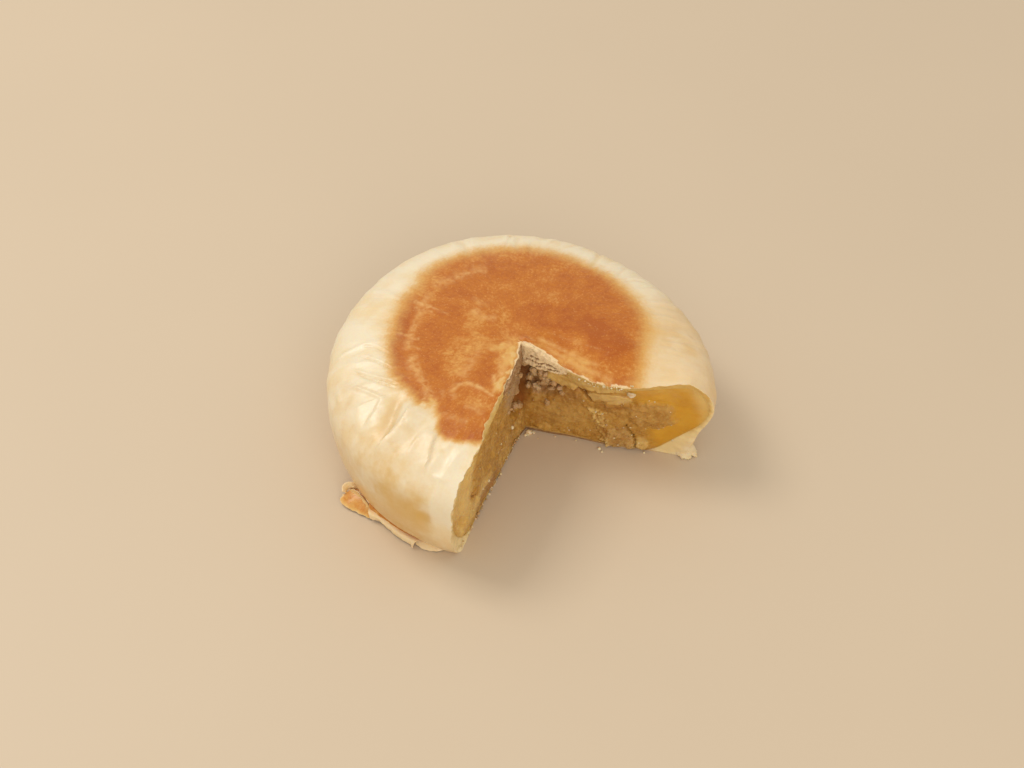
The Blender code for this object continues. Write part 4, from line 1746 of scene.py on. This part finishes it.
def lumpy_ball(centre: Place, radius: float, seed: int, squash: float,
               rings: int) -> tuple[Array, Array]:
    """A small irregular crumb.

    Args:
        centre: its middle.
        radius: its mean radius.
        seed: picks its shape.
        squash: height over width.
        rings: number of rings from pole to pole.

    Returns:
        Points and triangles.
    """
    columns = rings * 2
    polar = np.linspace(0, math.pi, rings + 1)[1:-1, None]
    around = np.linspace(0, 2 * math.pi, columns, endpoint=False)[None, :]
    grid = join(np.sin(polar) * np.cos(around), np.sin(polar) * np.sin(around), np.cos(polar))
    points = np.concatenate([grid.reshape(-1, 3), [(0, 0, 1), (0, 0, -1)]])
    lumps = 1 + 0.5 * noise(points + seed * 7.3, 1.1, 3, seed) + 0.26 * noise(points, 0.42, 3, seed)
    points = points * lumps[:, None] * radius * (1, 1, squash) + centre
    numbers = np.arange((rings - 1) * columns).reshape(rings - 1, columns)
    numbers = np.concatenate([numbers, numbers[:, :1]], axis=1)
    a, b, c, d = numbers[:-1, :-1], numbers[:-1, 1:], numbers[1:, 1:], numbers[1:, :-1]
    first, last = numbers[0], numbers[-1]
    fans = (join(a, c, b), join(a, d, c), join(len(points) - 2, first[:-1], first[1:]),
            join(len(points) - 1, last[1:], last[:-1]))
    return points, np.concatenate([fan.reshape(-1, 3) for fan in fans])


@dataclass(frozen=True)
class Grains:
    """Small crumbs strewn at random; each pair is the least and the most."""

    count: int
    away: Pair
    height: Pair  # at the top's edge, how far below it
    radius: Pair
    tint: Pair


@dataclass
class Crumbs:
    """Crumbs that cling to the cut faces and lie at their foot; each pair is the least and the most."""

    shape: CakeShape
    filling: BeanFilling
    seed: int = 5
    deepest: float = 0.5
    squash: Pair = (0.65, 1.2)
    large_radius: float = 0.4
    right_places: Rows = (  # x, height, radius, tint
        (2.1, 17.1, 0.85, 0.2), (2.2, 16.2, 0.78, 0.18), (3.7, 16.8, 0.8, 0.12), (4.7, 16.8, 0.85, 0.14),
        (4, 15.8, 0.9, 0.14), (5.1, 15.7, 0.8, 0.1), (4.4, 14.8, 0.92, 0.14), (5.4, 14.7, 0.6, 0.08),
        (2.4, 12.8, 0.62, 0.3), (3, 12.1, 0.5, 0.22), (7.4, 14, 0.72, 0.14), (7.9, 13, 0.66, 0.16),
        (5.6, 13, 0.6, 0.06), (1.2, 14.9, 0.75, 0.1), (0.4, 19.2, 1.1, 0.04), (1.1, 19.9, 0.75, 0.1),
        (0.9, 12.4, 0.6, 0.06), (3.4, 18, 0.7, 0.1), (6.4, 15.6, 0.62, 0.08), (3.3, 13.9, 0.55, 0.06),
        (4.9, 9, 0.6, 0.1), (21.8, 17.6, 0.85, 0.62), (25.2, 16, 0.22, 0.8), (26.2, 15.8, 0.2, 0.8),
        (26.8, 14, 0.18, 0.8), (29.3, 13.4, 0.2, 0.8), (29.5, 9.2, 0.3, 0.35), (27.1, 7.6, 0.26, 0.5),
        (24.6, 7.2, 0.18, 0.7), (22.9, 11.3, 0.2, 0.7), (28.6, 15, 0.16, 0.8), (28, 8.4, 0.22, 0.4),
        (23.4, 2.4, 0.24, 0.8), (9.2, 1.6, 0.2, 0.5), (21.7, 6.9, 0.25, 0.75), (21.9, 4.4, 0.2, 0.5),
        (14.9, 10.3, 0.22, 0.6), (16.2, 10, 0.22, 0.55), (12.4, 12.6, 0.2, 0.4), (29.9, 4.2, 0.26, 0.7),
        (17, 6.4, 0.25, 0.4), (18.6, 3.1, 0.2, 0.6), (19.3, 1, 0.2, 0.4), (13.5, 3, 0.18, 0.4),
    )
    left_places: Rows = (  # distance from the axis, height, radius, tint
        (5.7, 6.6, 0.4, 0.85), (18.5, 4.6, 0.32, 0.9), (1.4, 8.6, 0.8, 0.04), (4.2, 15.2, 0.6, 0.06),
        (6.6, 15, 0.55, 0.04), (2, 17.4, 0.6, 0.04), (8.6, 14.8, 0.45, 0.04), (2.8, 9.8, 0.7, 0.04),
        (21.6, 5.6, 0.32, 0.4), (12.6, 9, 0.22, 0.5), (24.5, 14.5, 0.25, 0.4), (10.6, 16, 0.4, 0.1),
    )
    edge_grains: Grains = Grains(34, (11.5, 24), (0.2, 1.3), (0.09, 0.24), (0.5, 0.9))
    face_grains: Grains = Grains(46, (1.5, 24), (2.2, 16.5), (0.08, 0.2), (0, 0.35))
    base_grains: Grains = Grains(70, (2, 33), (0.2, 1.1), (0.1, 0.24), (0.1, 0.6))
    base_outs: Pair = (-0.1, 0.3)
    floor_tints: Pair = (0.7, 1)
    floor_rings: int = 10
    large_rings: int = 16
    small_rings: int = 8
    floor_places: Rows = (  # x, y, radius
        (1.5, -0.5, 0.62), (2.3, -0.1, 0.32), (0.9, -1.2, 0.28), (15.9, -0.7, 0.34), (16.6, -1.3, 0.22),
        (-1.4, -15.2, 0.28), (-1.9, -16.4, 0.38), (-1.5, -18, 0.28), (-0.9, -12.4, 0.22), (-2.3, -20.4, 0.28),
        (6.6, 0.1, 0.18), (10.9, 0.2, 0.18), (24.6, 0.7, 0.22), (-2.6, -24, 0.22), (3.5, -1.4, 0.15),
    )

    def on_face(self, side: Side, away: float, height: float) -> Array:
        """A point of the crumbled face, in front of its hollows.

        Args:
            side: which face.
            away: distance from the axis along the face.
            height: height.

        Returns:
            The point.
        """
        relief = self.filling.relief(side, np.array([away]), np.array([height]))[0][0]
        stand = self.shape.face_shift(side, away, self.shape.before_droop(side, away, height))
        return side.place(away, stand, -min(self.filling.recess - relief, self.deepest), height)

    def build(self, finish: CrumbFinish) -> Object:
        """Builds all crumbs as one mesh.

        Args:
            finish: the crumbs' finish.

        Returns:
            The joined crumbs.
        """
        draft, draw, top = MeshDraft(("tint",)), random.Random(self.seed), self.shape.height
        for side, places in ((Side.RIGHT, self.right_places), (Side.LEFT, self.left_places)):
            for away, height, radius, tint in places:
                rings = self.large_rings if radius > self.large_radius else self.small_rings
                self.add_crumb(draft, draw, self.on_face(side, away, height), radius, tint, rings)
        edge, face, base = self.edge_grains, self.face_grains, self.base_grains
        for _ in range(edge.count):
            away = draw.uniform(*edge.away)
            rim = Side.RIGHT.place(away, self.shape.face_shift(Side.RIGHT, away, top), 0, top)
            place = self.on_face(Side.RIGHT, away, top - self.shape.droop(rim) - draw.uniform(*edge.height))
            self.add_crumb(draft, draw, place, draw.uniform(*edge.radius), draw.uniform(*edge.tint))
        for _ in range(face.count):
            side = Side.RIGHT if draw.random() < 0.5 else Side.LEFT
            place = self.on_face(side, draw.uniform(*face.away), draw.uniform(*face.height))
            self.add_crumb(draft, draw, place, draw.uniform(*face.radius), draw.uniform(*face.tint))
        for x, y, radius in self.floor_places:
            tint = draw.uniform(*self.floor_tints)
            self.add_crumb(draft, draw, (x, y, radius * 0.62), radius, tint, self.floor_rings)
        for _ in range(base.count):
            away = draw.uniform(*base.away)
            stand = self.shape.face_shift(Side.LEFT, away, 0.5)
            place = (stand + draw.uniform(*self.base_outs), -away, draw.uniform(*base.height))
            self.add_crumb(draft, draw, place, draw.uniform(*base.radius), draw.uniform(*base.tint))
        return draft.finish("crumbs_on_the_cut", 60, finish.material())

    def add_crumb(self, draft: MeshDraft, draw: random.Random, place: Array, radius: float, tint: float,
                  rings: int = 5) -> None:
        """Adds one crumb of its own shape to the draft.

        Args:
            draft: the crumbs' mesh.
            draw: draws its shape.
            place: its middle.
            radius: its mean radius.
            tint: 0 for paste to 1 for pastry.
            rings: number of rings from pole to pole.
        """
        seed, squash = draw.randrange(1, 9999), draw.uniform(*self.squash)
        points, triangles = lumpy_ball(place, radius, seed, squash, rings)
        draft.triangles.append(draft.add_points(points, {"tint": tint})[triangles])


@dataclass(frozen=True)
class ThinPiece:
    """A thin scrap of skin between two edges, each given by a few points in space."""

    name: str
    near: Route
    far: Route
    thickness: float
    bulge: float
    ragged: float
    browned: float
    heat: float
    torn: float
    seed: int
    step: float = 0.28
    rows: int = 12
    lowest: float = 0.04
    wrinkles: Rows = ((1.8, 3, 3, 0.22), (0.7, 2, 4, 0.06))  # size, layers, what is added to the seed, height
    rim_start: float = 0.82

    def smooth_route(self, route: Route, count: int) -> Array:
        """A soft curve through an edge's points.

        Args:
            route: the edge.
            count: number of points wanted.

        Returns:
            The curve's points.
        """
        line = even_line(np.array(route), count)
        for _ in range(max(2, count // 12)):
            line[1:-1] = 0.25 * line[:-2] + 0.5 * line[1:-1] + 0.25 * line[2:]
        return line

    def build(self, material: Material) -> Object:
        """Builds the scrap as a thin closed sheet.

        Args:
            material: the skin's material.

        Returns:
            The scrap.
        """
        longest = max(float(np.linalg.norm(np.diff(np.array(route), axis=0), axis=1).sum())
                      for route in (self.near, self.far))
        count = max(10, round(longest / self.step))
        near, far = self.smooth_route(self.near, count), self.smooth_route(self.far, count)
        share = np.linspace(0, 1, self.rows)[None, :]
        out = far - near
        out = out / np.maximum(np.linalg.norm(out, axis=1, keepdims=True), 1e-6)
        fringe = noise(join(np.linspace(0, longest, count), 0, 0), 1, 4, self.seed) * self.ragged
        far = far + out * fringe[:, None]
        points = near[:, None, :] * (1 - share[..., None]) + far[:, None, :] * share[..., None]
        normals = grid_normals(points)
        normals = np.where(normals[..., 2:] < 0, -normals, normals)
        wrinkle = sum(noise(points, size, layers, self.seed + more) * height
                      for size, layers, more, height in self.wrinkles)
        rise = self.bulge * np.sin(share * math.pi) + wrinkle * np.sin(share * math.pi * 0.75)
        points = points + normals * rise[..., None]
        points[..., 2] = np.maximum(points[..., 2], self.lowest)
        mottled, rim = noise(points, 1.6, 3, self.seed + 5), ease(self.rim_start, 1, share)
        values = {
            "browned": unit(self.browned * (1 - 0.6 * rim) + 0.15 * mottled),
            "toast": unit(self.heat + 0.25 * mottled - 0.3 * rim),
            "torn": unit(self.torn + 0.3 * rim),
            "golden": unit(0.3 + 0.4 * mottled),
        }
        draft = MeshDraft(SKIN_VALUES)
        low = draft.add_points(points, values)
        draft.add_thin_sheet(draft.add_points(points + normals * self.thickness, values), low)
        return draft.finish(self.name, 60, material)


@dataclass
class LooseSkin:
    """The skin that peels off the base at the front left, and the torn tab at the foot of the right face."""

    scraps: tuple[ThinPiece, ...] = (
        ThinPiece(
            "loose_base_flap",
            ((-26, -23.6, 1.8), (-24.6, -24.6, 2.2), (-23.2, -25.8, 2.2), (-21.6, -27.4, 2),
             (-20.2, -28.6, 1.6)),
            ((-28, -27, 1.5), (-28.5, -27.7, 1), (-27.7, -28.6, 0.45), (-25.1, -29.4, 0.3),
             (-21.4, -30.3, 0.3)),
            0.22, 0.15, 0.35, 0.85, 0.36, 0, 151),
        ThinPiece(
            "loose_base_outer_curl",
            ((-27.4, -26.6, 1.3), (-27.8, -25.7, 1.6), (-26.9, -25.2, 1.9), (-25.6, -25.3, 2.2),
             (-24.4, -26.2, 2.2), (-23, -27.4, 2.1), (-21.6, -28.5, 1.9)),
            ((-28.2, -26.9, 2.3), (-28.6, -25.6, 2.9), (-27.4, -25, 3.4), (-25.9, -25.3, 3.7),
             (-24.5, -26.4, 3.3), (-23.2, -27.7, 2.9), (-21.6, -29, 2.4)),
            0.16, 0.25, 0.3, 0.35, 0.05, 0.45, 157),
        ThinPiece(
            "loose_base_inner_curl",
            ((-27, -26.4, 1.2), (-26, -26.4, 1.5), (-24.8, -27, 1.6), (-23.4, -28, 1.5), (-22, -29, 1.2)),
            ((-27.2, -25.8, 2), (-26.1, -25.8, 2.6), (-24.9, -26.5, 2.7), (-23.5, -27.5, 2.4),
             (-22, -28.6, 1.9)),
            0.16, -0.15, 0.25, 0.45, 0.1, 0.35, 163),
        ThinPiece(
            "loose_base_strip",
            ((-21.9, -28.9, 1.7), (-19.6, -29.4, 1.8), (-17.6, -30.4, 1.8), (-15.3, -31.4, 1.6),
             (-13.2, -32.3, 1.4), (-11.7, -32.8, 1.3), (-10.2, -33, 1.2)),
            ((-21.2, -30.5, 0.5), (-18.7, -30.6, 0.4), (-16.8, -31.9, 0.3), (-15, -33, 0.3),
             (-13.1, -33.8, 0.3), (-11.9, -34.2, 0.3), (-11.3, -35, 0.3)),
            0.24, 0.75, 0.18, 0.2, 0.1, 0.75, 167),
        # dark orange sheet above the strip: partly the browned torn skin, partly painted shadow between the
        # strip and the cake
        ThinPiece(
            "loose_base_lining_and_shadow",
            ((-21.9, -28.3, 2.9), (-19.8, -29.4, 2.9), (-17.4, -30.5, 2.8), (-15, -31.5, 2.5),
             (-12.4, -32.3, 2.2)),
            ((-21.4, -29.3, 1.6), (-19.4, -30.2, 1.7), (-17.2, -31.2, 1.7), (-14.8, -32.2, 1.5),
             (-12.2, -33, 1.3)),
            0.22, 0.3, 0.2, 0.9, 0.62, 0, 173),
        ThinPiece(
            "loose_base_front_curl",
            ((-11.4, -31.8, 0.9), (-9.2, -32, 1), (-7, -32, 0.9), (-5, -32.2, 0.6)),
            ((-11, -33.9, 0.2), (-8.9, -34.7, 0.2), (-6.8, -34.4, 0.2), (-4.8, -33.4, 0.2)),
            0.2, 0.25, 0.22, 0.25, 0.1, 0.55, 179),
        ThinPiece(
            "torn_corner_tab",
            ((29.8, 2.7, 0.5), (30.9, 2.9, 0.9), (31.8, 3.4, 1.1), (32.5, 4.2, 1.1), (32.7, 5, 0.9)),
            ((31.2, 2.5, 0.15), (32.5, 1.2, 0.1), (33.7, 1.6, 0.1), (34.6, 2.7, 0.15), (33.9, 4.3, 0.4)),
            0.38, 0.15, 1, 0, 0, 0, 181, 0.1),
    )

    def build(self, material: Material) -> list[Object]:
        """Builds every scrap with the skin's material."""
        return [scrap.build(material) for scrap in self.scraps]


@dataclass(frozen=True)
class CrustPanel:
    """One stretch of torn pastry; its tables start with the distance from the axis along the face."""

    side: Side
    lower_edge: Plan  # height of its lower edge
    bulge: Plan  # how far it stands out of the face
    below_top: float
    seed: int
    layer: float
    # painted shade of the whole stretch: slight on the right, deep on the left, which lies in shade
    painted_shade: float
    upper_shade: float
    cracks: tuple[Plan, ...]


@dataclass
class TornCrust:
    """The pastry torn open under the top's edge beside the middle of the cake, in thin broken layers, with
    painted shade under its ledges, in its cracks and over the left stretch.
    """

    shape: CakeShape
    panels: tuple[CrustPanel, ...] = (
        CrustPanel(Side.RIGHT, ((-0.3, 20.4), (0.9, 19.2), (2.8, 18.7), (5.4, 18.6), (7, 18.7), (8.7, 18.9),
                                (10.2, 19.4), (11.6, 20.2)),
                   ((-0.3, 0.3), (0.8, 0.7), (3.5, 0.95), (6, 0.75), (8.5, 0.4), (10.2, 0.1), (11.6, 0.02)),
                   0.12, 191, 0.42, 0.1, 0.16,
                   (((1, 20.9), (2.3, 20.8), (3.6, 20.5), (4.9, 20.9), (6, 20.8), (7.2, 20.3)),
                    ((2, 22), (3.4, 21.7)), ((3, 19.6), (4.6, 19.9), (6.4, 19.5), (7.6, 19.7)))),
        CrustPanel(Side.LEFT, ((-0.2, 19.6), (2, 19.6), (5, 20), (9, 21.2), (12, 22.6), (13.5, 23.4)),
                   ((-0.2, 0.2), (1.5, 0.4), (9, 0.35), (13.5, 0.05)), 0.45, 241, 0.7, 0.76, 0,
                   (((2, 23.4), (2.6, 21.4)), ((6.2, 23.6), (6.9, 21.6)))),
    )
    columns: int = 130
    rows: int = 72
    depth_in: float = 1
    ledge: float = 0.34
    top_ragged: float = 0.22
    bottom_ragged: float = 0.35
    crack_reach: Pair = (0.34, 0.08)
    crack_depth: float = 0.5

    def build(self, material: Material) -> Object:
        """Builds the torn pastry as one mesh.

        Args:
            material: the skin's material.

        Returns:
            The torn pastry.
        """
        draft = MeshDraft(SKIN_VALUES)
        for panel in self.panels:
            self.add_panel(draft, panel)
        return draft.finish("torn_pastry_layers", 50, material)

    def add_panel(self, draft: MeshDraft, panel: CrustPanel) -> None:
        """Adds one stretch of torn pastry.

        Args:
            draft: the mesh.
            panel: the stretch.
        """
        side, seed = panel.side, panel.seed
        away = np.linspace(panel.lower_edge[0][0], panel.lower_edge[-1][0], self.columns)[:, None]
        down = np.linspace(0, 1, self.rows)[None, :]
        lane = join(away, 0, 0)
        top = self.shape.height - panel.below_top + noise(lane, 1.1, 4, seed) * self.top_ragged
        sunk = self.shape.droop(side.place(away, self.shape.face_shift(side, away, top), 0, top))
        bottom = read_table(panel.lower_edge, away) + noise(lane, 1, 4, seed + 1) * self.bottom_ragged
        share = 0.5 - 0.5 * np.cos(down * math.pi)
        depth = np.maximum(top - sunk - bottom, 0.05) * share
        level = top - sunk - depth
        place = join(away, level, 0)
        phase = depth / panel.layer + 2.4 * noise(place * (0.45, 0.25, 0), 1, 4, seed + 2)
        number = np.floor(phase)
        part = phase - number
        whole = unit(0.75 + 1.1 * noise(join(away * 0.8, number * 3.7, 0), 1, 3, seed + 3))
        rough = noise(place, 0.55, 3, seed + 4)
        lower = ease(0.35, 0.75, share)
        # painted shadow under the ledge of each layer
        dark = whole * ease(0.42, 0, part) * (0.15 + 0.5 * lower)
        out = read_table(panel.bulge, away)
        body = np.maximum(np.sin(down * math.pi), 0) ** 0.45
        scales = self.ledge * whole * (part ** 0.6 - 0.45) * (0.5 + 0.8 * lower)
        scales = scales + (0.12 + 0.2 * lower) * rough
        reach = out * body + scales * body * unit(out * 2)
        for crack in panel.cracks:
            near = ease(*self.crack_reach, line_gap(away, level + 0.1 * rough, crack)[0])
            reach -= self.crack_depth * near * body
            # painted shade in the crack
            dark = most(dark, 0.85 * near)
        stand = self.shape.face_shift(side, away, level + sunk * (1 - share))
        # painted shade of the stretch, mottled and more in its upper part, with the painted shadows under
        # ledges and in cracks; it darkens the torn colour towards torn_shadow
        shade = panel.painted_shade + (0.35 + 0.5 * lower) * rough + panel.upper_shade * (1 - lower)
        values = {"torn": 1, "section_and_shade": unit(shade + 0.9 * dark)}
        front, back = (draft.add_points(side.place(away, stand, offset, level), values)
                       for offset in (reach, -self.depth_in * body - 0.05))
        draft.add_thin_sheet(front, back, flip=side is Side.LEFT)


# ---- the studio


@dataclass
class Studio:
    """The floor, the lights and the camera at the photograph's viewing angle."""

    azimuth: float = 17.2
    elevation: float = 45.47
    roll: float = -0.89
    distance: float = 367.5
    look_at: Pair = (-5.78, 11.82)
    focal_share: float = 1800 / 1024  # focal length over the picture's width
    sensor_width: float = 36
    floor_size: float = 1600
    world_colour: Colour = (1, 0.965, 0.92)
    world_strength: float = 0.69
    light_target_height: float = 10
    lights: tuple[tuple[str, Place, float, float, Colour], ...] = (  # as add_light takes them
        ("window_light", (-380, 240, 600), 300, 2, (1, 0.97, 0.93)),
        ("front_fill", (120, -600, 400), 420, 1.55, (1, 0.96, 0.91)),
    )

    def plan_directions(self) -> tuple[Vector, Vector, Vector]:
        """Works out directions in the part's frame.

        Returns:
            The camera's right, the level direction away from it, and up.
        """
        turn = math.radians(self.azimuth)
        return (Vector((math.cos(turn), math.sin(turn), 0)), Vector((-math.sin(turn), math.cos(turn), 0)),
                Vector((0, 0, 1)))

    def build_camera(self) -> None:
        """Adds the camera."""
        right, away, above = self.plan_directions()
        rise, roll = math.radians(self.elevation), math.radians(self.roll)
        back = above * math.sin(rise) - away * math.cos(rise)
        up = back.cross(right)
        axes = (right * math.cos(roll) + up * math.sin(roll),
                up * math.cos(roll) - right * math.sin(roll), back)
        target = Vector((self.look_at[0] + AXIS_PLACE[0], self.look_at[1] + AXIS_PLACE[1], 0))
        data = bpy.data.cameras.new("photo_camera")
        data.sensor_fit = 'HORIZONTAL'
        data.sensor_width = self.sensor_width
        data.lens = self.sensor_width * self.focal_share
        data.clip_start = 0.01
        camera = place_in_scene("photo_camera", data)
        turned = Matrix(axes).transposed().to_4x4()
        camera.matrix_world = Matrix.Translation((target + back * self.distance) * MM) @ turned
        bpy.context.scene.camera = camera

    def build_floor(self, finish: FloorFinish) -> None:
        """Adds the plain floor.

        Args:
            finish: the floor's finish.
        """
        half = self.floor_size * MM / 2
        data = bpy.data.meshes.new("plain_floor")
        corners = [(-half, -half, 0), (half, -half, 0), (half, half, 0), (-half, half, 0)]
        data.from_pydata(corners, [], [(0, 1, 2, 3)])
        data.materials.append(finish.material())
        place_in_scene("plain_floor", data)

    def add_light(self, name: str, place: Place, size: float, power: float, colour: Colour) -> None:
        """Adds a square soft light that points at the cake.

        Args:
            name: its name.
            place: its place, seen from the camera: right, away, up.
            size: side of the square.
            power: its power in watts.
            colour: its colour.
        """
        spot = sum((way * part for way, part in zip(self.plan_directions(), place)), Vector()) * MM
        data = bpy.data.lights.new(name, 'AREA')
        data.size = size * MM
        data.energy = power
        data.color = colour
        light = place_in_scene(name, data)
        light.location = spot
        target = Vector((0, 0, self.light_target_height * MM))
        light.rotation_euler = (target - spot).to_track_quat('-Z', 'Y').to_euler()

    def build(self) -> None:
        """Adds the camera, the floor, the lights and the world."""
        self.build_camera()
        self.build_floor(FloorFinish())
        for light in self.lights:
            self.add_light(*light)
        world = bpy.data.worlds.new("soft_room")
        world.use_nodes = True
        background = world.node_tree.nodes['Background']
        background.inputs['Color'].default_value = (*self.world_colour, 1)
        background.inputs['Strength'].default_value = self.world_strength
        scene = bpy.context.scene
        scene.world = world
        scene.view_settings.view_transform = 'Standard'
        scene.view_settings.look = 'None'


# ---- the cake


class PiaCake:
    """The whole dressed cake."""

    def __init__(self) -> None:
        """Takes the sizes that the sub-assemblies share."""
        self.shape = CakeShape()
        self.skin = PastrySkin(self.shape)
        self.filling = BeanFilling(self.shape)
        self.crumbs = Crumbs(self.shape, self.filling)
        self.loose = LooseSkin()
        self.crust = TornCrust(self.shape)

    def keep(self, piece: Object, slot: Slot, replaced: Optional[str] = None) -> None:
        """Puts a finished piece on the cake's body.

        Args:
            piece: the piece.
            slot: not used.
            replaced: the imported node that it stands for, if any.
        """
        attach(piece, "root")
        if replaced:
            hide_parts(replaced)
        LOG.info("%s: %d triangles", piece.name, len(piece.data.polygons))

    def build(self) -> None:
        """Builds every piece in order."""
        skin = self.skin.build(SkinFinish())
        self.keep(skin, Slot.PASTRY, "pastry_skin")
        self.keep(self.filling.build(PasteFinish()), Slot.PASTE, "mung_bean_filling")
        material = skin.data.materials[0]
        for strip in self.loose.build(material):
            self.keep(strip, Slot.PASTRY)
        self.keep(self.crust.build(material), Slot.PASTRY)
        self.keep(self.crumbs.build(CrumbFinish()), Slot.PASTE)


def main() -> None:
    """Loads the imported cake, dresses it, sets up the studio and notes the sizes."""
    logging.basicConfig(level=logging.INFO, format="%(name)s: %(message)s")
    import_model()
    PiaCake().build()
    Studio().build()
    bpy.context.view_layer.update()


if __name__ == "__main__":
    main()
